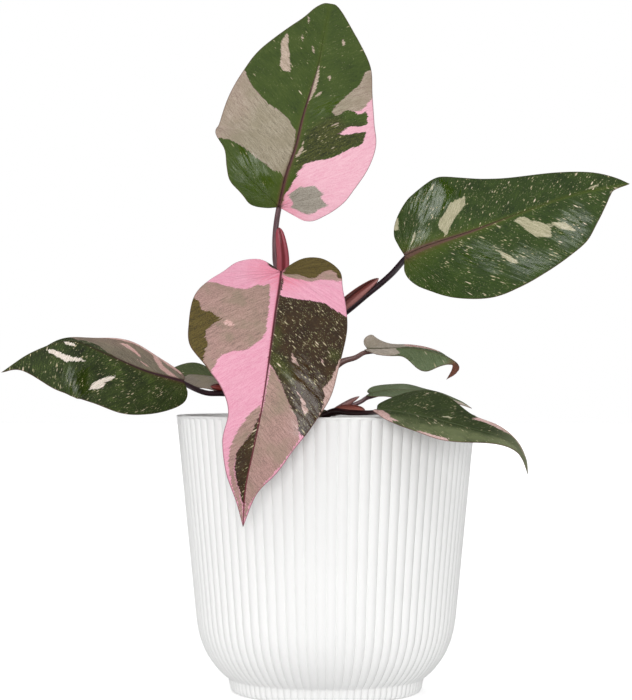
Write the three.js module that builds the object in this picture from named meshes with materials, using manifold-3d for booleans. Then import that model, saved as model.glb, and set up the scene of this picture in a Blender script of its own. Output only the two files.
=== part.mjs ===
// Pink princess philodendron in a white ribbed pot, in millimetres, +Z up.
// The origin is the centre of the pot's underside. -Y is the front, +X is the right.

import * as THREE from "three";
import { mergeVertices } from "three/addons/utils/BufferGeometryUtils.js";
import Module from "manifold-3d";

const wasm = await Module();
wasm.setup();

// ---------------------------------------------------------------- driving dimensions

const POT = {
  height: 129,
  rimRadius: 70,
  wall: 2.6,
  floor: 3.2,
  lip: 1.4,
  ribs: 84,
  ribDepth: 0.9,
  footHeight: 7.5, // the inside runs straight down from here to the floor
  floorCorner: 5, // how far the inside is rounded in where it meets the floor
  insideHeights: [9, 16, 26, 36],
  // The outside over the crests of the ribs, from the table up: [radius, height].
  profile: [
    [43, 0],
    [44.8, 1.6],
    [45.8, 6.5],
    [52.4, 12.9],
    [57, 20.4],
    [59.6, 28],
    [60.8, 36],
  ],
};

const SOIL = { edge: 113, crown: 116 };

const CLEARANCE = 0.3; // between pieces that touch on the plant
const BLADE = 0.8; // thickness of a leaf
const STALK_REACH = 1; // how far a petiole runs on under its blade
const VEIN_SLANT = 0.5; // how far a side vein runs towards the tip for each step outwards

const STEMS = {
  main_stem: {
    path: [[-7, 2, 88], [-7, 2, 114], [-6.5, 1, 138], [-6.5, 0, 156], [-9, -1, 173], [-15, -3, 187],
      [-20.5, -5.5, 196]],
    radii: [4.4, 4.5, 4.3, 4.1, 4, 3.7, 2.8],
  },
  side_shoot: {
    path: [[-4, -26, 90], [-4, -27, 112], [-3, -31, 124], [-1, -37, 130.5]],
    radii: [3, 3, 2.8, 2.2],
  },
};

// Each leaf is laid out on its own flat outline: a is the distance along the midrib from the stalk, and
// b the distance out from it. The blade is then carried along the midrib, facing the given ways from base
// to tip. Each half is turned up from that plane by its fold, and bends by its curl for every 10 mm.
const LEAVES = {
  top: {
    petiole: {
      path: [[-20.5, -5.5, 193], [-23, -6.5, 199], [-23.7, -6.5, 206], [-23.7, -6, 213], [-23, -5, 220]],
      radii: [1.9, 1.7, 1.4, 1.3, 1.3],
    },
    midrib: [[-22, -6, 226], [-18.7, -6, 240.6], [-14.1, -1, 255], [-10.6, 8, 271], [-4, 25, 295.4],
      [-0.5, 39, 316], [2, 49, 331]],
    face: [[0.05, -1, 0.15], [0.05, -1, 0.3], [0.1, -1, 0.45]],
    left: {
      fold: [31, 8, 8, 6, 0],
      curl: -5,
      outline: [[0, 0], [-2, 7], [-2, 15], [3, 21], [7, 26], [12, 28.5], [17, 31], [24, 38], [36, 38],
        [50, 37], [69, 34], [84, 30], [97, 22.5], [113, 11], [124, 0]],
    },
    right: {
      fold: [27, 14, 14, 8, 6],
      curl: -5,
      outline: [[0, 0], [-2, 7], [-4, 15], [-1, 22], [9, 31], [22, 34.5], [37, 37], [52, 34], [70, 29],
        [86, 25], [100, 18], [113, 10], [124, 0]],
    },
    stations: 16,
    across: 5,
  },
  right: {
    petiole: {
      path: [[-8, 0, 162], [-1, 2, 168.5], [4.2, 0, 173.5], [12.1, -5, 179.4], [20, -10, 185.7],
        [25.8, -14, 190.3], [31, -17, 195]],
      radii: [2.2, 2, 1.8, 1.6, 1.4, 1.4, 1.4],
    },
    midrib: [[36.3, -20, 202.3], [46.9, -21, 206.9], [66.2, -21, 213.3], [88, -18, 221.6],
      [115, -13.5, 231.2], [141.5, -8, 236.6]],
    face: [[-0.1, -0.9, 0.45], [-0.1, -0.88, 0.47], [0, -0.88, 0.47]],
    left: {
      fold: [-14, -5, -14, -18, -8],
      curl: -3,
      outline: [[0, 0], [-1, 8], [-1, 16], [3, 25], [13, 35], [27, 39], [42, 36], [56, 31], [70, 25.5],
        [84, 19.5], [98, 12.5], [107, 5.5], [112, 0]],
    },
    right: {
      fold: [-12, -7, -7, -6, 4],
      curl: -2,
      outline: [[0, 0], [-3, 7], [-1, 14], [6, 22], [16, 28], [30, 33.5], [42, 33.5], [56, 31.5], [70, 28],
        [84, 21.5], [97, 10], [106, 3], [112, 0]],
    },
    stations: 16,
    across: 5,
  },
  front: {
    petiole: {
      path: [[-9, 0, 172], [-12, -8, 178], [-15, -18, 186], [-18.5, -29, 190.5]],
      radii: [2.1, 1.8, 1.5, 1.4],
    },
    midrib: [[-20.3, -40, 193.7], [-21, -49, 186.4], [-22.5, -61, 174.4], [-25.1, -77, 151.4],
      [-27.7, -85, 132.4], [-30.8, -88, 116.6], [-34.4, -88, 99.1], [-35.6, -86, 82.2]],
    face: [[0, -1, 0.8], [0, -1, 0.3], [0, -1, 0]],
    left: {
      fold: [7, 1, -4, 8, 16],
      curl: -4,
      outline: [[0, 0], [-7, 5], [-11, 11], [-10, 19], [-2, 26.5], [9, 28.5], [20, 31], [33, 32.5],
        [50, 31], [66, 29], [80, 23], [92, 17], [103, 12], [114, 5.2], [129, 0]],
    },
    right: {
      fold: [8, 13, 16, 14, 8],
      curl: -4,
      outline: [[0, 0], [-5, 5], [-8, 11], [-5, 20], [3, 26], [12, 31.5], [25, 36.5], [40, 37], [53, 35],
        [63, 26.5], [72, 18.5], [82, 14], [94, 14], [106, 10], [117, 4], [129, 0]],
    },
    stations: 17,
    across: 5,
  },
  left: {
    petiole: {
      path: [[-7, 1, 127], [-20, -3, 133], [-35.4, -8, 137.6], [-47.2, -13, 139], [-54.5, -15.5, 139.2],
        [-60, -17.5, 141]],
      radii: [2, 1.7, 1.5, 1.3, 1.3, 1.2],
    },
    midrib: [[-65.5, -20, 144.8], [-82.3, -26, 149.4], [-99, -32, 156.7], [-115, -38, 162.8],
      [-131, -45, 158], [-144.5, -52, 148.7]],
    face: [[0, -0.85, 0.52], [0, -0.8, 0.6], [0, -0.7, 0.7]],
    left: {
      fold: [-18, -1, -6, -22, -33],
      curl: -3,
      outline: [[0, 0], [-3, 5], [-2, 10], [4, 15], [14, 20.5], [26, 25.4], [40, 26.1], [52, 25],
        [64, 26.8], [75, 18.6], [84, 4.3], [92, 0]],
    },
    right: {
      fold: [-31, -28, -40, -50, -56],
      curl: -3,
      outline: [[0, 0], [-1, 5], [3, 12], [10, 18.5], [21, 24.5], [34, 26], [48, 23.5], [62, 19],
        [75, 12.5], [86, 5.5], [93, 0]],
    },
    stations: 14,
    across: 4,
  },
  back_left: {
    petiole: {
      path: [[-7, 2, 131], [-17, 7, 136], [-28, 13, 140], [-38, 16.5, 142.5]],
      radii: [1.7, 1.4, 1.2, 1.1],
    },
    midrib: [[-43, 18, 145], [-50.6, 18, 146.4], [-58.4, 18, 147.4], [-66, 18, 147.8], [-73.8, 18, 146.6],
      [-81.4, 18, 143.6]],
    face: [[0, -0.6, 0.8], [0, -0.6, 0.8], [0, -0.6, 0.8]],
    left: {
      fold: [6, 9, 11, 14, 12],
      curl: -2,
      outline: [[0, 0], [-3, 5], [0, 10], [8, 13], [18, 12], [28, 8], [39, 0]],
    },
    right: {
      fold: [-26, -21, -6, 3, 5],
      curl: -4,
      outline: [[0, 0], [-3, 5], [0, 10], [8, 13], [18, 12], [28, 8], [39, 0]],
    },
    stations: 9,
    across: 3,
  },
  upper_right: {
    petiole: {
      path: [[-6.5, 1, 140], [-0.5, 3, 147.5], [7.1, 5, 153.6], [13.7, 6, 155.8], [17.6, 6.5, 158]],
      radii: [2.2, 2, 1.9, 1.3, 1.1],
    },
    midrib: [[19.8, 6, 159.8], [27.8, 3, 160], [37.1, 0, 160.3], [46.4, -2, 159.1], [53.8, -4, 156.8],
      [60, -5, 153.6], [59.7, -6, 150.2], [56, -7, 145.4]],
    face: [[0, -0.4, 0.9], [0, -0.6, 0.8], [0.4, -0.7, 0.6]],
    left: {
      fold: [20, -16, -24, -36, -36],
      curl: -2,
      outline: [[0, 0], [-3, 4], [-3.5, 8], [-1, 10.5], [3, 8.5], [9, 7.5], [17, 8.5], [26, 9.5], [34, 8],
        [42, 4], [48, 2], [53, 0]],
    },
    right: {
      fold: [12, 4, -14, -28, -28],
      curl: -3,
      outline: [[0, 0], [-1, 2.5], [2, 5], [7, 8], [13, 8.5], [19, 7], [27, 11], [33, 10.5], [38, 5],
        [43, 2], [53, 0]],
    },
    stations: 12,
    across: 3,
  },
  lower_right: {
    petiole: {
      path: [[-1, -37, 129], [4, -45, 131.2], [11, -56, 130.9], [17.5, -63.5, 130.9]],
      radii: [1.7, 1.6, 1.3, 1.1],
    },
    midrib: [[22.2, -69, 132.4], [32.3, -72, 131.3], [45.6, -75, 128.8], [55.9, -77, 126.2],
      [63.3, -78, 124.2], [75.1, -79, 120.9], [82.2, -79, 116.7], [85.8, -78, 111.1], [87.4, -77, 104.5]],
    face: [[0, -0.5, 0.86], [0.1, -0.5, 0.86], [0.6, -0.5, 0.7]],
    left: {
      fold: [-7, 2, -7, -9, -10],
      curl: -2,
      outline: [[0, 0], [-1, 6], [2, 13], [8, 20], [18, 23], [30, 21], [42, 16.5], [54, 11.5], [66, 5],
        [77, 0]],
    },
    right: {
      fold: [20, 10, 8, 11, 4],
      curl: -4,
      outline: [[0, 0], [-1, 3], [2, 7], [8, 12.5], [18, 16], [32, 17], [44, 14.5], [56, 9], [67, 4],
        [77, 0]],
    },
    stations: 13,
    across: 4,
  },
  rear_right: {
    petiole: {
      path: [[-1.5, -35, 128], [3, -30, 131], [9, -26, 132.6], [15.6, -24, 135.2], [18.5, -23, 137]],
      radii: [1.4, 1.2, 1.1, 1, 1],
    },
    midrib: [[20.7, -22, 138.9], [29.3, -23, 140.5], [40.8, -24, 140.3], [52.2, -25, 138.2],
      [61.3, -26, 135.2], [66.6, -26, 132.3]],
    face: [[0, -0.3, 0.95], [0.1, -0.3, 0.95], [0.4, -0.3, 0.9]],
    left: {
      fold: [1, -4, -6, -8, -3],
      curl: -2,
      outline: [[0, 0], [-2, 4.5], [0, 10], [6, 13], [15, 13], [26, 10], [38, 5], [48, 0]],
    },
    right: {
      fold: [14, 4, -3, -5, -5],
      curl: -4,
      outline: [[0, 0], [-2, 4.5], [0, 9], [6, 12.5], [15, 13], [26, 10], [38, 5], [48, 0]],
    },
    stations: 9,
    across: 3,
  },
};

// Sheaths that once wrapped a young leaf: slim pointed boats, each cradling the petiole that it lies on.
const SHEATHS = {
  top: {
    path: [[-19, -7.6, 196.5], [-19.4, -8, 203], [-20.3, -8.3, 209.5], [-21.6, -8, 217.5]],
    radii: [2.3, 3, 2.7, 0.6],
  },
  right: {
    path: [[1, 0, 174.6], [8.5, -4, 180.2], [16.5, -9.3, 186.6], [25, -14, 193]],
    radii: [2, 2.9, 2.5, 0.5],
  },
  left: {
    path: [[-28, -6, 138.4], [-37, -9, 140.6], [-46, -12.5, 141.6], [-54, -15.3, 142.4]],
    radii: [1.6, 2.1, 1.9, 0.4],
  },
  lower_right: {
    path: [[3, -40, 130.6], [6.5, -46, 131.8], [11.5, -53.5, 132.2], [17.2, -61, 131.6]],
    radii: [1.7, 2.1, 2.1, 1.4],
  },
  rear_right: {
    path: [[4.5, -30, 131.9], [8.5, -28, 133.9], [12, -26.5, 136], [15.4, -25.5, 138]],
    radii: [1, 1.3, 1.1, 0.3],
  },
};

// How finely the round pieces are cut.
const RIB_FACETS = 3;
const INSIDE_FACETS = 48;
const STEM_CUT = { sides: 10, rings: 14 };
const STALK_CUT = { sides: 8, rings: 9 };
const WELD = 1e-4; // corners closer than this are one

const COLOURS = {
  pot: { color: 0xf4f4f2, roughness: 0.45, metalness: 0 },
  soil: { color: 0x2f241c, roughness: 1, metalness: 0 },
  stem: { color: 0x4a3a2c, roughness: 0.6, metalness: 0 },
  petiole: { color: 0x4a1f2c, roughness: 0.45, metalness: 0 },
  blade: { color: 0x3f5a2f, roughness: 0.4, metalness: 0 },
  sheath: { color: 0x8c3038, roughness: 0.4, metalness: 0 },
};

// ---------------------------------------------------------------- solids and meshes

// A closed surface from a list of corner triples, with equal corners merged.
function closedSurface(corners) {
  const positions = [];
  for (let i = 0; i < corners.length; i += 3) {
    const [p, q, r] = corners.slice(i, i + 3);
    const flat = p.distanceTo(q) < WELD || q.distanceTo(r) < WELD || r.distanceTo(p) < WELD;
    if (!flat) positions.push(...p.toArray(), ...q.toArray(), ...r.toArray());
  }
  const geometry = new THREE.BufferGeometry();
  geometry.setAttribute("position", new THREE.Float32BufferAttribute(positions, 3));
  return mergeVertices(geometry, WELD);
}

function solidOf(geometry) {
  const bare = geometry.clone();
  bare.deleteAttribute("normal");
  bare.deleteAttribute("uv");
  const merged = mergeVertices(bare, WELD);
  return new wasm.Manifold(
    new wasm.Mesh({
      numProp: 3,
      vertProperties: merged.attributes.position.array,
      triVerts: new Uint32Array(merged.index.array),
    }),
  );
}

function geometryOf(solid) {
  const mesh = solid.getMesh();
  const geometry = new THREE.BufferGeometry();
  geometry.setAttribute("position", new THREE.BufferAttribute(mesh.vertProperties, 3));
  geometry.setIndex(new THREE.BufferAttribute(mesh.triVerts, 1));
  return geometry;
}

// The largest body that is left of a solid after the others have been cut from it.
function cutClear(solid, cutters) {
  const rest = cutters.reduce((left, cutter) => left.subtract(cutter), solid);
  return rest.decompose().reduce((a, b) => (a.volume() > b.volume() ? a : b));
}

function namedMesh(name, geometry, colour) {
  const plain = geometry.index ? geometry.toNonIndexed() : geometry;
  plain.computeVertexNormals();
  const mesh = new THREE.Mesh(plain, new THREE.MeshStandardMaterial(COLOURS[colour]));
  mesh.name = name;
  return mesh;
}

function curveThrough(points) {
  const places = points.map((p) => new THREE.Vector3(p[0], p[1], p[2] ?? 0));
  return new THREE.CatmullRomCurve3(places, false, "catmullrom", 0.5);
}

// The value at t, from 0 to 1, along a list of evenly spread values.
function along(values, t) {
  const place = THREE.MathUtils.clamp(t, 0, 1) * (values.length - 1);
  const i = Math.min(Math.floor(place), values.length - 2);
  return values[i] + (values[i + 1] - values[i]) * (place - i);
}

// ---------------------------------------------------------------- pot and soil

function potRadius(height) {
  const { profile, rimRadius } = POT;
  const points = [...profile, [rimRadius, POT.height]];
  const above = points.findIndex(([, z]) => z >= height);
  const next = above < 0 ? points.length - 1 : Math.max(1, above);
  const [[r0, z0], [r1, z1]] = [points[next - 1], points[next]];
  return r0 + ((r1 - r0) * (height - z0)) / (z1 - z0);
}

// The ribbed outside as one closed body. Each rib has a narrow valley and a broad flat crest.
function potBody() {
  const facets = POT.ribs * RIB_FACETS;
  const lipFoot = POT.height - POT.lip;
  const heights = [...POT.profile.map(([, z]) => z), lipFoot - POT.ribDepth / 2, lipFoot, POT.height];
  const rings = heights.map((z) => {
    const onRibs = z < lipFoot;
    return Array.from({ length: facets }, (_, i) => {
      const angle = -Math.PI / 2 + (i / facets) * 2 * Math.PI;
      const radius = potRadius(z) - (onRibs && i % RIB_FACETS === 0 ? POT.ribDepth : 0);
      return new THREE.Vector3(radius * Math.cos(angle), radius * Math.sin(angle), z);
    });
  });
  const corners = [];
  const centres = [new THREE.Vector3(0, 0, 0), new THREE.Vector3(0, 0, POT.height)];
  for (let i = 0; i < facets; i++) {
    const next = (i + 1) % facets;
    corners.push(centres[0], rings[0][next], rings[0][i]);
    corners.push(centres[1], rings.at(-1)[i], rings.at(-1)[next]);
    for (let row = 1; row < rings.length; row++) {
      const [low, high] = [rings[row - 1], rings[row]];
      corners.push(low[i], low[next], high[next], low[i], high[next], high[i]);
    }
  }
  return solidOf(closedSurface(corners));
}

// The room inside the wall as a turned body, with inset taken off all round. It reaches up to top at the
// wall, and to crown on the axis.
function potInside(inset, top, crown) {
  const wallAt = (z) => potRadius(Math.max(z, POT.footHeight)) - POT.wall - inset;
  const profile = [
    new THREE.Vector2(0, POT.floor),
    new THREE.Vector2(wallAt(POT.floor) - POT.floorCorner, POT.floor),
    ...[...POT.insideHeights, top].map((z) => new THREE.Vector2(wallAt(z), z)),
    new THREE.Vector2(0, crown),
  ];
  const lathe = new THREE.LatheGeometry(profile, INSIDE_FACETS);
  lathe.rotateX(Math.PI / 2);
  return solidOf(lathe);
}

// ---------------------------------------------------------------- stems and petioles

// A round limb along a curve, with flat ends. Extra radius and length come from grow.
function limb(points, radii, { sides, rings }, grow = 0) {
  const curve = curveThrough(points);
  const frames = curve.computeFrenetFrames(rings, false);
  const circles = [];
  for (let k = 0; k <= rings; k++) {
    const centre = curve.getPointAt(k / rings);
    if (k === 0) centre.addScaledVector(frames.tangents[0], -grow);
    if (k === rings) centre.addScaledVector(frames.tangents[rings], grow);
    const radius = along(radii, k / rings) + grow;
    circles.push(
      Array.from({ length: sides }, (_, i) => {
        const angle = (i / sides) * 2 * Math.PI;
        return centre
          .clone()
          .addScaledVector(frames.normals[k], radius * Math.cos(angle))
          .addScaledVector(frames.binormals[k], radius * Math.sin(angle));
      }),
    );
  }
  const corners = [];
  const [first, last] = [circles[0], circles.at(-1)];
  for (let i = 1; i < sides - 1; i++) {
    corners.push(first[0], first[i + 1], first[i]);
    corners.push(last[0], last[i], last[i + 1]);
  }
  for (let k = 1; k <= rings; k++) {
    for (let i = 0; i < sides; i++) {
      const next = (i + 1) % sides;
      const [low, high] = [circles[k - 1], circles[k]];
      corners.push(low[i], low[next], high[next], low[i], high[next], high[i]);
    }
  }
  return solidOf(closedSurface(corners));
}

// ---------------------------------------------------------------- leaf blades

// The frame of the leaf at distance a along its midrib: place, forward, up and rightward.
function midribFrame(leaf, a) {
  const t = THREE.MathUtils.clamp(a / leaf.length, 0, 1);
  const forward = leaf.curve.getTangentAt(t);
  const place = leaf.curve.getPointAt(t).addScaledVector(forward, a - t * leaf.length);
  const facing = [0, 1, 2].map((axis) => along(leaf.face.map((f) => f[axis]), t));
  const up = new THREE.Vector3(...facing);
  up.addScaledVector(forward, -up.dot(forward)).normalize();
  return { place, forward, up, right: new THREE.Vector3().crossVectors(forward, up), t };
}

// The point of the blade's middle surface at (a, b) on the half given by side, 1 for right, -1 for left.
function bladePoint(leaf, side, a, b) {
  const half = side > 0 ? leaf.right : leaf.left;
  const { place, up, right, t } = midribFrame(leaf, a);
  const fold = THREE.MathUtils.degToRad(along(half.fold, t));
  const bend = THREE.MathUtils.degToRad(half.curl) / 10;
  const out = (Math.sin(fold + bend * b) - Math.sin(fold)) / bend;
  const rise = (Math.cos(fold) - Math.cos(fold + bend * b)) / bend;
  return place.addScaledVector(right, side * out).addScaledVector(up, rise);
}

// The upward normal of the middle surface, from short steps along it. At the midrib both halves share up.
function bladeNormal(leaf, side, a, b) {
  if (b === 0) return midribFrame(leaf, a).up;
  const step = 0.1;
  const lengthwise = bladePoint(leaf, side, a + step, b).sub(bladePoint(leaf, side, a - step, b));
  const outward = bladePoint(leaf, side, a, b + step).sub(bladePoint(leaf, side, a, b - step));
  return outward.cross(lengthwise).multiplyScalar(side).normalize();
}

// The places along a half's margin where its rows end.
function marginOf(leaf, half) {
  const outline = half.outline.map(([a, b]) => [a, b]);
  outline[outline.length - 1][0] = leaf.length;
  return curveThrough(outline).getSpacedPoints(leaf.stations);
}

// One half of a blade as two alike faces and the margin between them. Its rows start at the roots.
function halfBlade(leaf, side, thickness, margin, roots, corners) {
  const rows = margin.map((edge, i) => {
    const atEnd = i === 0 || i === leaf.stations;
    return Array.from({ length: leaf.across + 1 }, (_, j) => {
      const share = j / leaf.across;
      const a = roots[i] + (edge.x - roots[i]) * share;
      const b = atEnd ? 0 : Math.max(edge.y, 0) * share;
      const middle = bladePoint(leaf, side, a, b);
      const normal = bladeNormal(leaf, side, a, b);
      return {
        top: middle.clone().addScaledVector(normal, thickness / 2),
        under: middle.clone().addScaledVector(normal, -thickness / 2),
      };
    });
  });
  const face = (p, q, r) => corners.push(...(side > 0 ? [p, q, r] : [p, r, q]));
  for (let i = 1; i < rows.length; i++) {
    const [back, fore] = [rows[i - 1], rows[i]];
    for (let j = 1; j <= leaf.across; j++) {
      face(back[j - 1].top, back[j].top, fore[j].top);
      face(back[j - 1].top, fore[j].top, fore[j - 1].top);
      face(back[j - 1].under, fore[j].under, back[j].under);
      face(back[j - 1].under, fore[j - 1].under, fore[j].under);
    }
    const [near, far] = [back[leaf.across], fore[leaf.across]];
    face(near.top, near.under, far.under);
    face(near.top, far.under, far.top);
  }
}

// A whole blade. Rows start at roots set back from the margin by the slant of the side veins, and both
// halves share them, so that they meet along the midrib.
function blade(leaf, thickness) {
  const margins = [marginOf(leaf, leaf.left), marginOf(leaf, leaf.right)];
  const roots = margins[0].map((_, i) => {
    const [l, r] = margins.map((margin) => Math.max(margin[i].x - VEIN_SLANT * margin[i].y, 0));
    return i === leaf.stations ? leaf.length : Math.min((l + r) / 2, leaf.length);
  });
  const corners = [];
  halfBlade(leaf, -1, thickness, margins[0], roots, corners);
  halfBlade(leaf, 1, thickness, margins[1], roots, corners);
  return solidOf(closedSurface(corners));
}

// ---------------------------------------------------------------- assembly

const plant = new THREE.Group();
plant.name = "pink_princess_philodendron";

const aboveRim = POT.height + 1;
const potSolid = potBody().subtract(potInside(0, aboveRim, aboveRim));
plant.add(namedMesh("pot", geometryOf(potSolid), "pot"));

// What other pieces keep clear of: each stem or petiole, grown by the clearance.
const stemRoom = {};
for (const [name, { path, radii }] of Object.entries(STEMS)) {
  stemRoom[name] = limb(path, radii, STEM_CUT, CLEARANCE);
  plant.add(namedMesh(name, geometryOf(limb(path, radii, STEM_CUT)), "stem"));
}

const soilSolid = cutClear(potInside(CLEARANCE, SOIL.edge, SOIL.crown), Object.values(stemRoom));
plant.add(namedMesh("soil", geometryOf(soilSolid), "soil"));

const petioleRoom = {};
for (const [name, leaf] of Object.entries(LEAVES)) {
  leaf.curve = curveThrough(leaf.midrib);
  leaf.length = leaf.curve.getLength();
  plant.add(namedMesh("leaf_" + name, geometryOf(blade(leaf, BLADE)), "blade"));

  const { place, forward, up } = midribFrame(leaf, 0);
  const { radii } = leaf.petiole;
  const seat = place.addScaledVector(up, -(BLADE / 2 + CLEARANCE + radii.at(-1)));
  const path = [...leaf.petiole.path, seat.addScaledVector(forward, STALK_REACH).toArray()];
  const cutters = [...Object.values(stemRoom), blade(leaf, BLADE + 2 * CLEARANCE)];
  const petiole = cutClear(limb(path, radii, STALK_CUT), cutters);
  petioleRoom[name] = limb(path, radii, STALK_CUT, CLEARANCE);
  plant.add(namedMesh("petiole_" + name, geometryOf(petiole), "petiole"));
}

for (const [name, sheath] of Object.entries(SHEATHS)) {
  const cutters = [...Object.values(stemRoom), ...Object.values(petioleRoom)];
  const boat = cutClear(limb(sheath.path, sheath.radii, STALK_CUT), cutters);
  plant.add(namedMesh("sheath_" + name, geometryOf(boat), "sheath"));
}

export default plant;
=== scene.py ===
"""Looks of the pink princess philodendron in its white ribbed pot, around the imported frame."""

import math
import random
from functools import reduce

import bmesh
import bpy
import numpy as np
from mathutils import Euler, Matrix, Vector, noise


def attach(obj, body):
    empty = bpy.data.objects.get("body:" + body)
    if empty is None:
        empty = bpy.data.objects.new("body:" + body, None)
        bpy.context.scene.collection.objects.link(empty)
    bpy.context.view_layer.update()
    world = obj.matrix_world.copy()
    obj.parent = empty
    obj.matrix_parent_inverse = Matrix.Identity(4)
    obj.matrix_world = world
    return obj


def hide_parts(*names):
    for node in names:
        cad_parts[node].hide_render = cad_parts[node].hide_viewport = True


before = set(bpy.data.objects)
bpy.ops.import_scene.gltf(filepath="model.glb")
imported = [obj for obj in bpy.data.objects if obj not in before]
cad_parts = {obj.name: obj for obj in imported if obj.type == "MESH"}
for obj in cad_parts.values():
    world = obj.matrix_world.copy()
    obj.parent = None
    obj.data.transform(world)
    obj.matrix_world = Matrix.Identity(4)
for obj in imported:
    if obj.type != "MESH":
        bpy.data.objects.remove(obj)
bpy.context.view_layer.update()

MM = 0.001

# ------------------------------------------------------------------ the leaves, in millimetres
# The same blades as the frame's. On the flat leaf, a runs along the midrib and b out from it. face is where
# the blade looks, from its base to its tip. Each half turns up from that by its fold, in degrees, and on by
# its curl in every 10 mm. rib is half the width of the midrib's line at its base and tip, and its taper.
# Marks are outlines on the flat leaf as (a, y), where y is b, and less than 0 on the left half.

LEAVES, MARKS = {}, {}

LEAVES["top"] = {
    "midrib": [(-22, -6, 226), (-18.7, -6, 240.6), (-14.1, -1, 255), (-10.6, 8, 271), (-4, 25, 295.4),
               (-0.5, 39, 316), (2, 49, 331)],
    "face": [(0.05, -1, 0.15), (0.05, -1, 0.3), (0.1, -1, 0.45)],
    "left": {"fold": (31, 8, 8, 6, 0), "curl": -5, "outline": [
        (0, 0), (-2, 7), (-2, 15), (3, 21), (7, 26), (12, 28.5), (17, 31), (24, 38), (36, 38), (50, 37),
        (69, 34), (84, 30), (97, 22.5), (111, 12), (119, 7), (123, 3), (124, 0)]},
    "right": {"fold": (27, 14, 14, 8, 6), "curl": -5, "outline": [
        (0, 0), (-2, 7), (-4, 15), (-1, 22), (9, 31), (22, 34.5), (37, 37), (52, 34), (70, 29), (86, 25),
        (100, 18), (111, 11.5), (119, 6.5), (123, 3), (124, 0)]},
    "petiole": [(-20.5, -5.5, 193), (-23, -6.5, 199), (-23.7, -6.5, 206), (-23.7, -6, 213), (-23, -5, 220)],
    "radii": (1.9, 1.7, 1.4, 1.3, 1.3),
    "veins": 11,
    "rib": (1.0, 0.3, 1),
}
MARKS["top"] = {
    "taupe": [
        [(73, -36), (63, -31), (59, -28), (56, -25), (53, -21), (50, -17), (48, -12), (45, -7), (39, -2),
         (31, -1), (14, -0.5), (16, -4), (15, -7), (17, -11), (18, -16), (21, -24), (22, -31), (21, -38),
         (37, -44), (53, -42)],
        [(83, 23), (74, 22), (66, 18), (58, 14), (53, 13), (51, 16), (56, 19), (57, 26), (62, 28), (74, 32),
         (85, 28)],
    ],
    "pink": [
        [(70, 29), (64, 28), (59, 26), (55, 25), (59, 29), (50, 31), (48, 29), (47, 26), (46, 23), (40, 18),
         (40, 21), (42, 25), (44, 29), (45, 31), (40, 31), (37, 30), (36, 29), (34, 25), (30, 20), (28, 17),
         (26, 12), (22, 6), (20, 7), (18, 4), (16, 6), (13, 4), (10, 4), (5, 2), (1, 1), (-4, 2), (-8, 18),
         (8, 38), (29, 42), (49, 40), (74, 32)],
    ],
    "grey": [
        [(6, 3), (9, 6), (11, 8), (13, 15), (11, 18), (10, 21), (8, 19), (5, 24), (3, 20), (0, 18), (-1, 15),
         (0, 11), (1, 6), (3, 7), (5, 5)],
    ],
    "cream": [
        [(101, -18), (92, -20), (85, -19), (76, -18), (72, -16), (73, -12), (81, -14), (90, -16), (97, -17)],
        [(83, 0.2), (76, 1.6), (68, 2.2), (61, 1.6), (56, 0.2), (68, -0.2)],
        [(66, 5.5), (63, 5), (60, 2), (63, 3)],
        [(35, 3), (25, 1.5), (28, 4)],
        [(44, 14), (48, 18), (45, 17)],
        [(113, -9.5), (111, -9.6), (107, -8.6), (110, -8.2)],
        [(100, -10.6), (98, -10.8), (95.5, -9.8), (98, -9.4)],
        [(94, -4.6), (92, -4.8), (88, -3.4), (91, -3.2)],
        [(101, 9.6), (99, 9), (96, 10.2), (98, 11)],
        [(77, 6.4), (75, 6), (73, 7.2), (75, 7.8)],
        [(80, -11.6), (78, -11.4), (77, -10.6)],
    ],
    "gloss": [
        [(2, -7), (10, -6), (18, -13), (22, -24), (14, -24), (5, -19)],
        [(36, -30), (44, -26), (46, -30), (38, -34)],
        [(52, 6), (60, 8), (62, 14), (54, 12)],
    ],
    "moss": [
        [(52, 16), (50, 12), (40, 3), (20, 2), (16, 5), (26, 14), (32, 24), (38, 32), (47, 32), (50, 28),
         (47, 22)],
    ],
}

LEAVES["right"] = {
    "midrib": [(36.3, -20, 202.3), (46.9, -21, 206.9), (66.2, -21, 213.3), (88, -18, 221.6),
               (115, -13.5, 231.2), (141.5, -8, 236.6)],
    "face": [(-0.1, -0.9, 0.45), (-0.1, -0.88, 0.47), (0, -0.88, 0.47)],
    "left": {"fold": (-14, -5, -14, -18, -8), "curl": -3, "outline": [
        (0, 0), (-1, 8), (-1, 16), (3, 25), (13, 35), (27, 39), (42, 36), (56, 31), (70, 25.5), (84, 19.5),
        (98, 12.5), (107, 5.5), (112, 0)]},
    "right": {"fold": (-12, -7, -7, -6, 4), "curl": -2, "outline": [
        (0, 0), (-3, 7), (-1, 14), (6, 22), (16, 28), (30, 33.5), (42, 33.5), (56, 31.5), (70, 28),
        (82, 23.5), (91, 16), (97, 9.5), (101, 4.5), (104, 1.8), (112, 0)]},
    "petiole": [(-8, 0, 162), (-1, 2, 168.5), (4.2, 0, 173.5), (12.1, -5, 179.4), (20, -10, 185.7),
                (25.8, -14, 190.3), (31, -17, 195)],
    "radii": (2.2, 2, 1.8, 1.6, 1.4, 1.4, 1.4),
    "veins": 11,
    "rib": (1.9, 0.22, 2),
}
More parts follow.
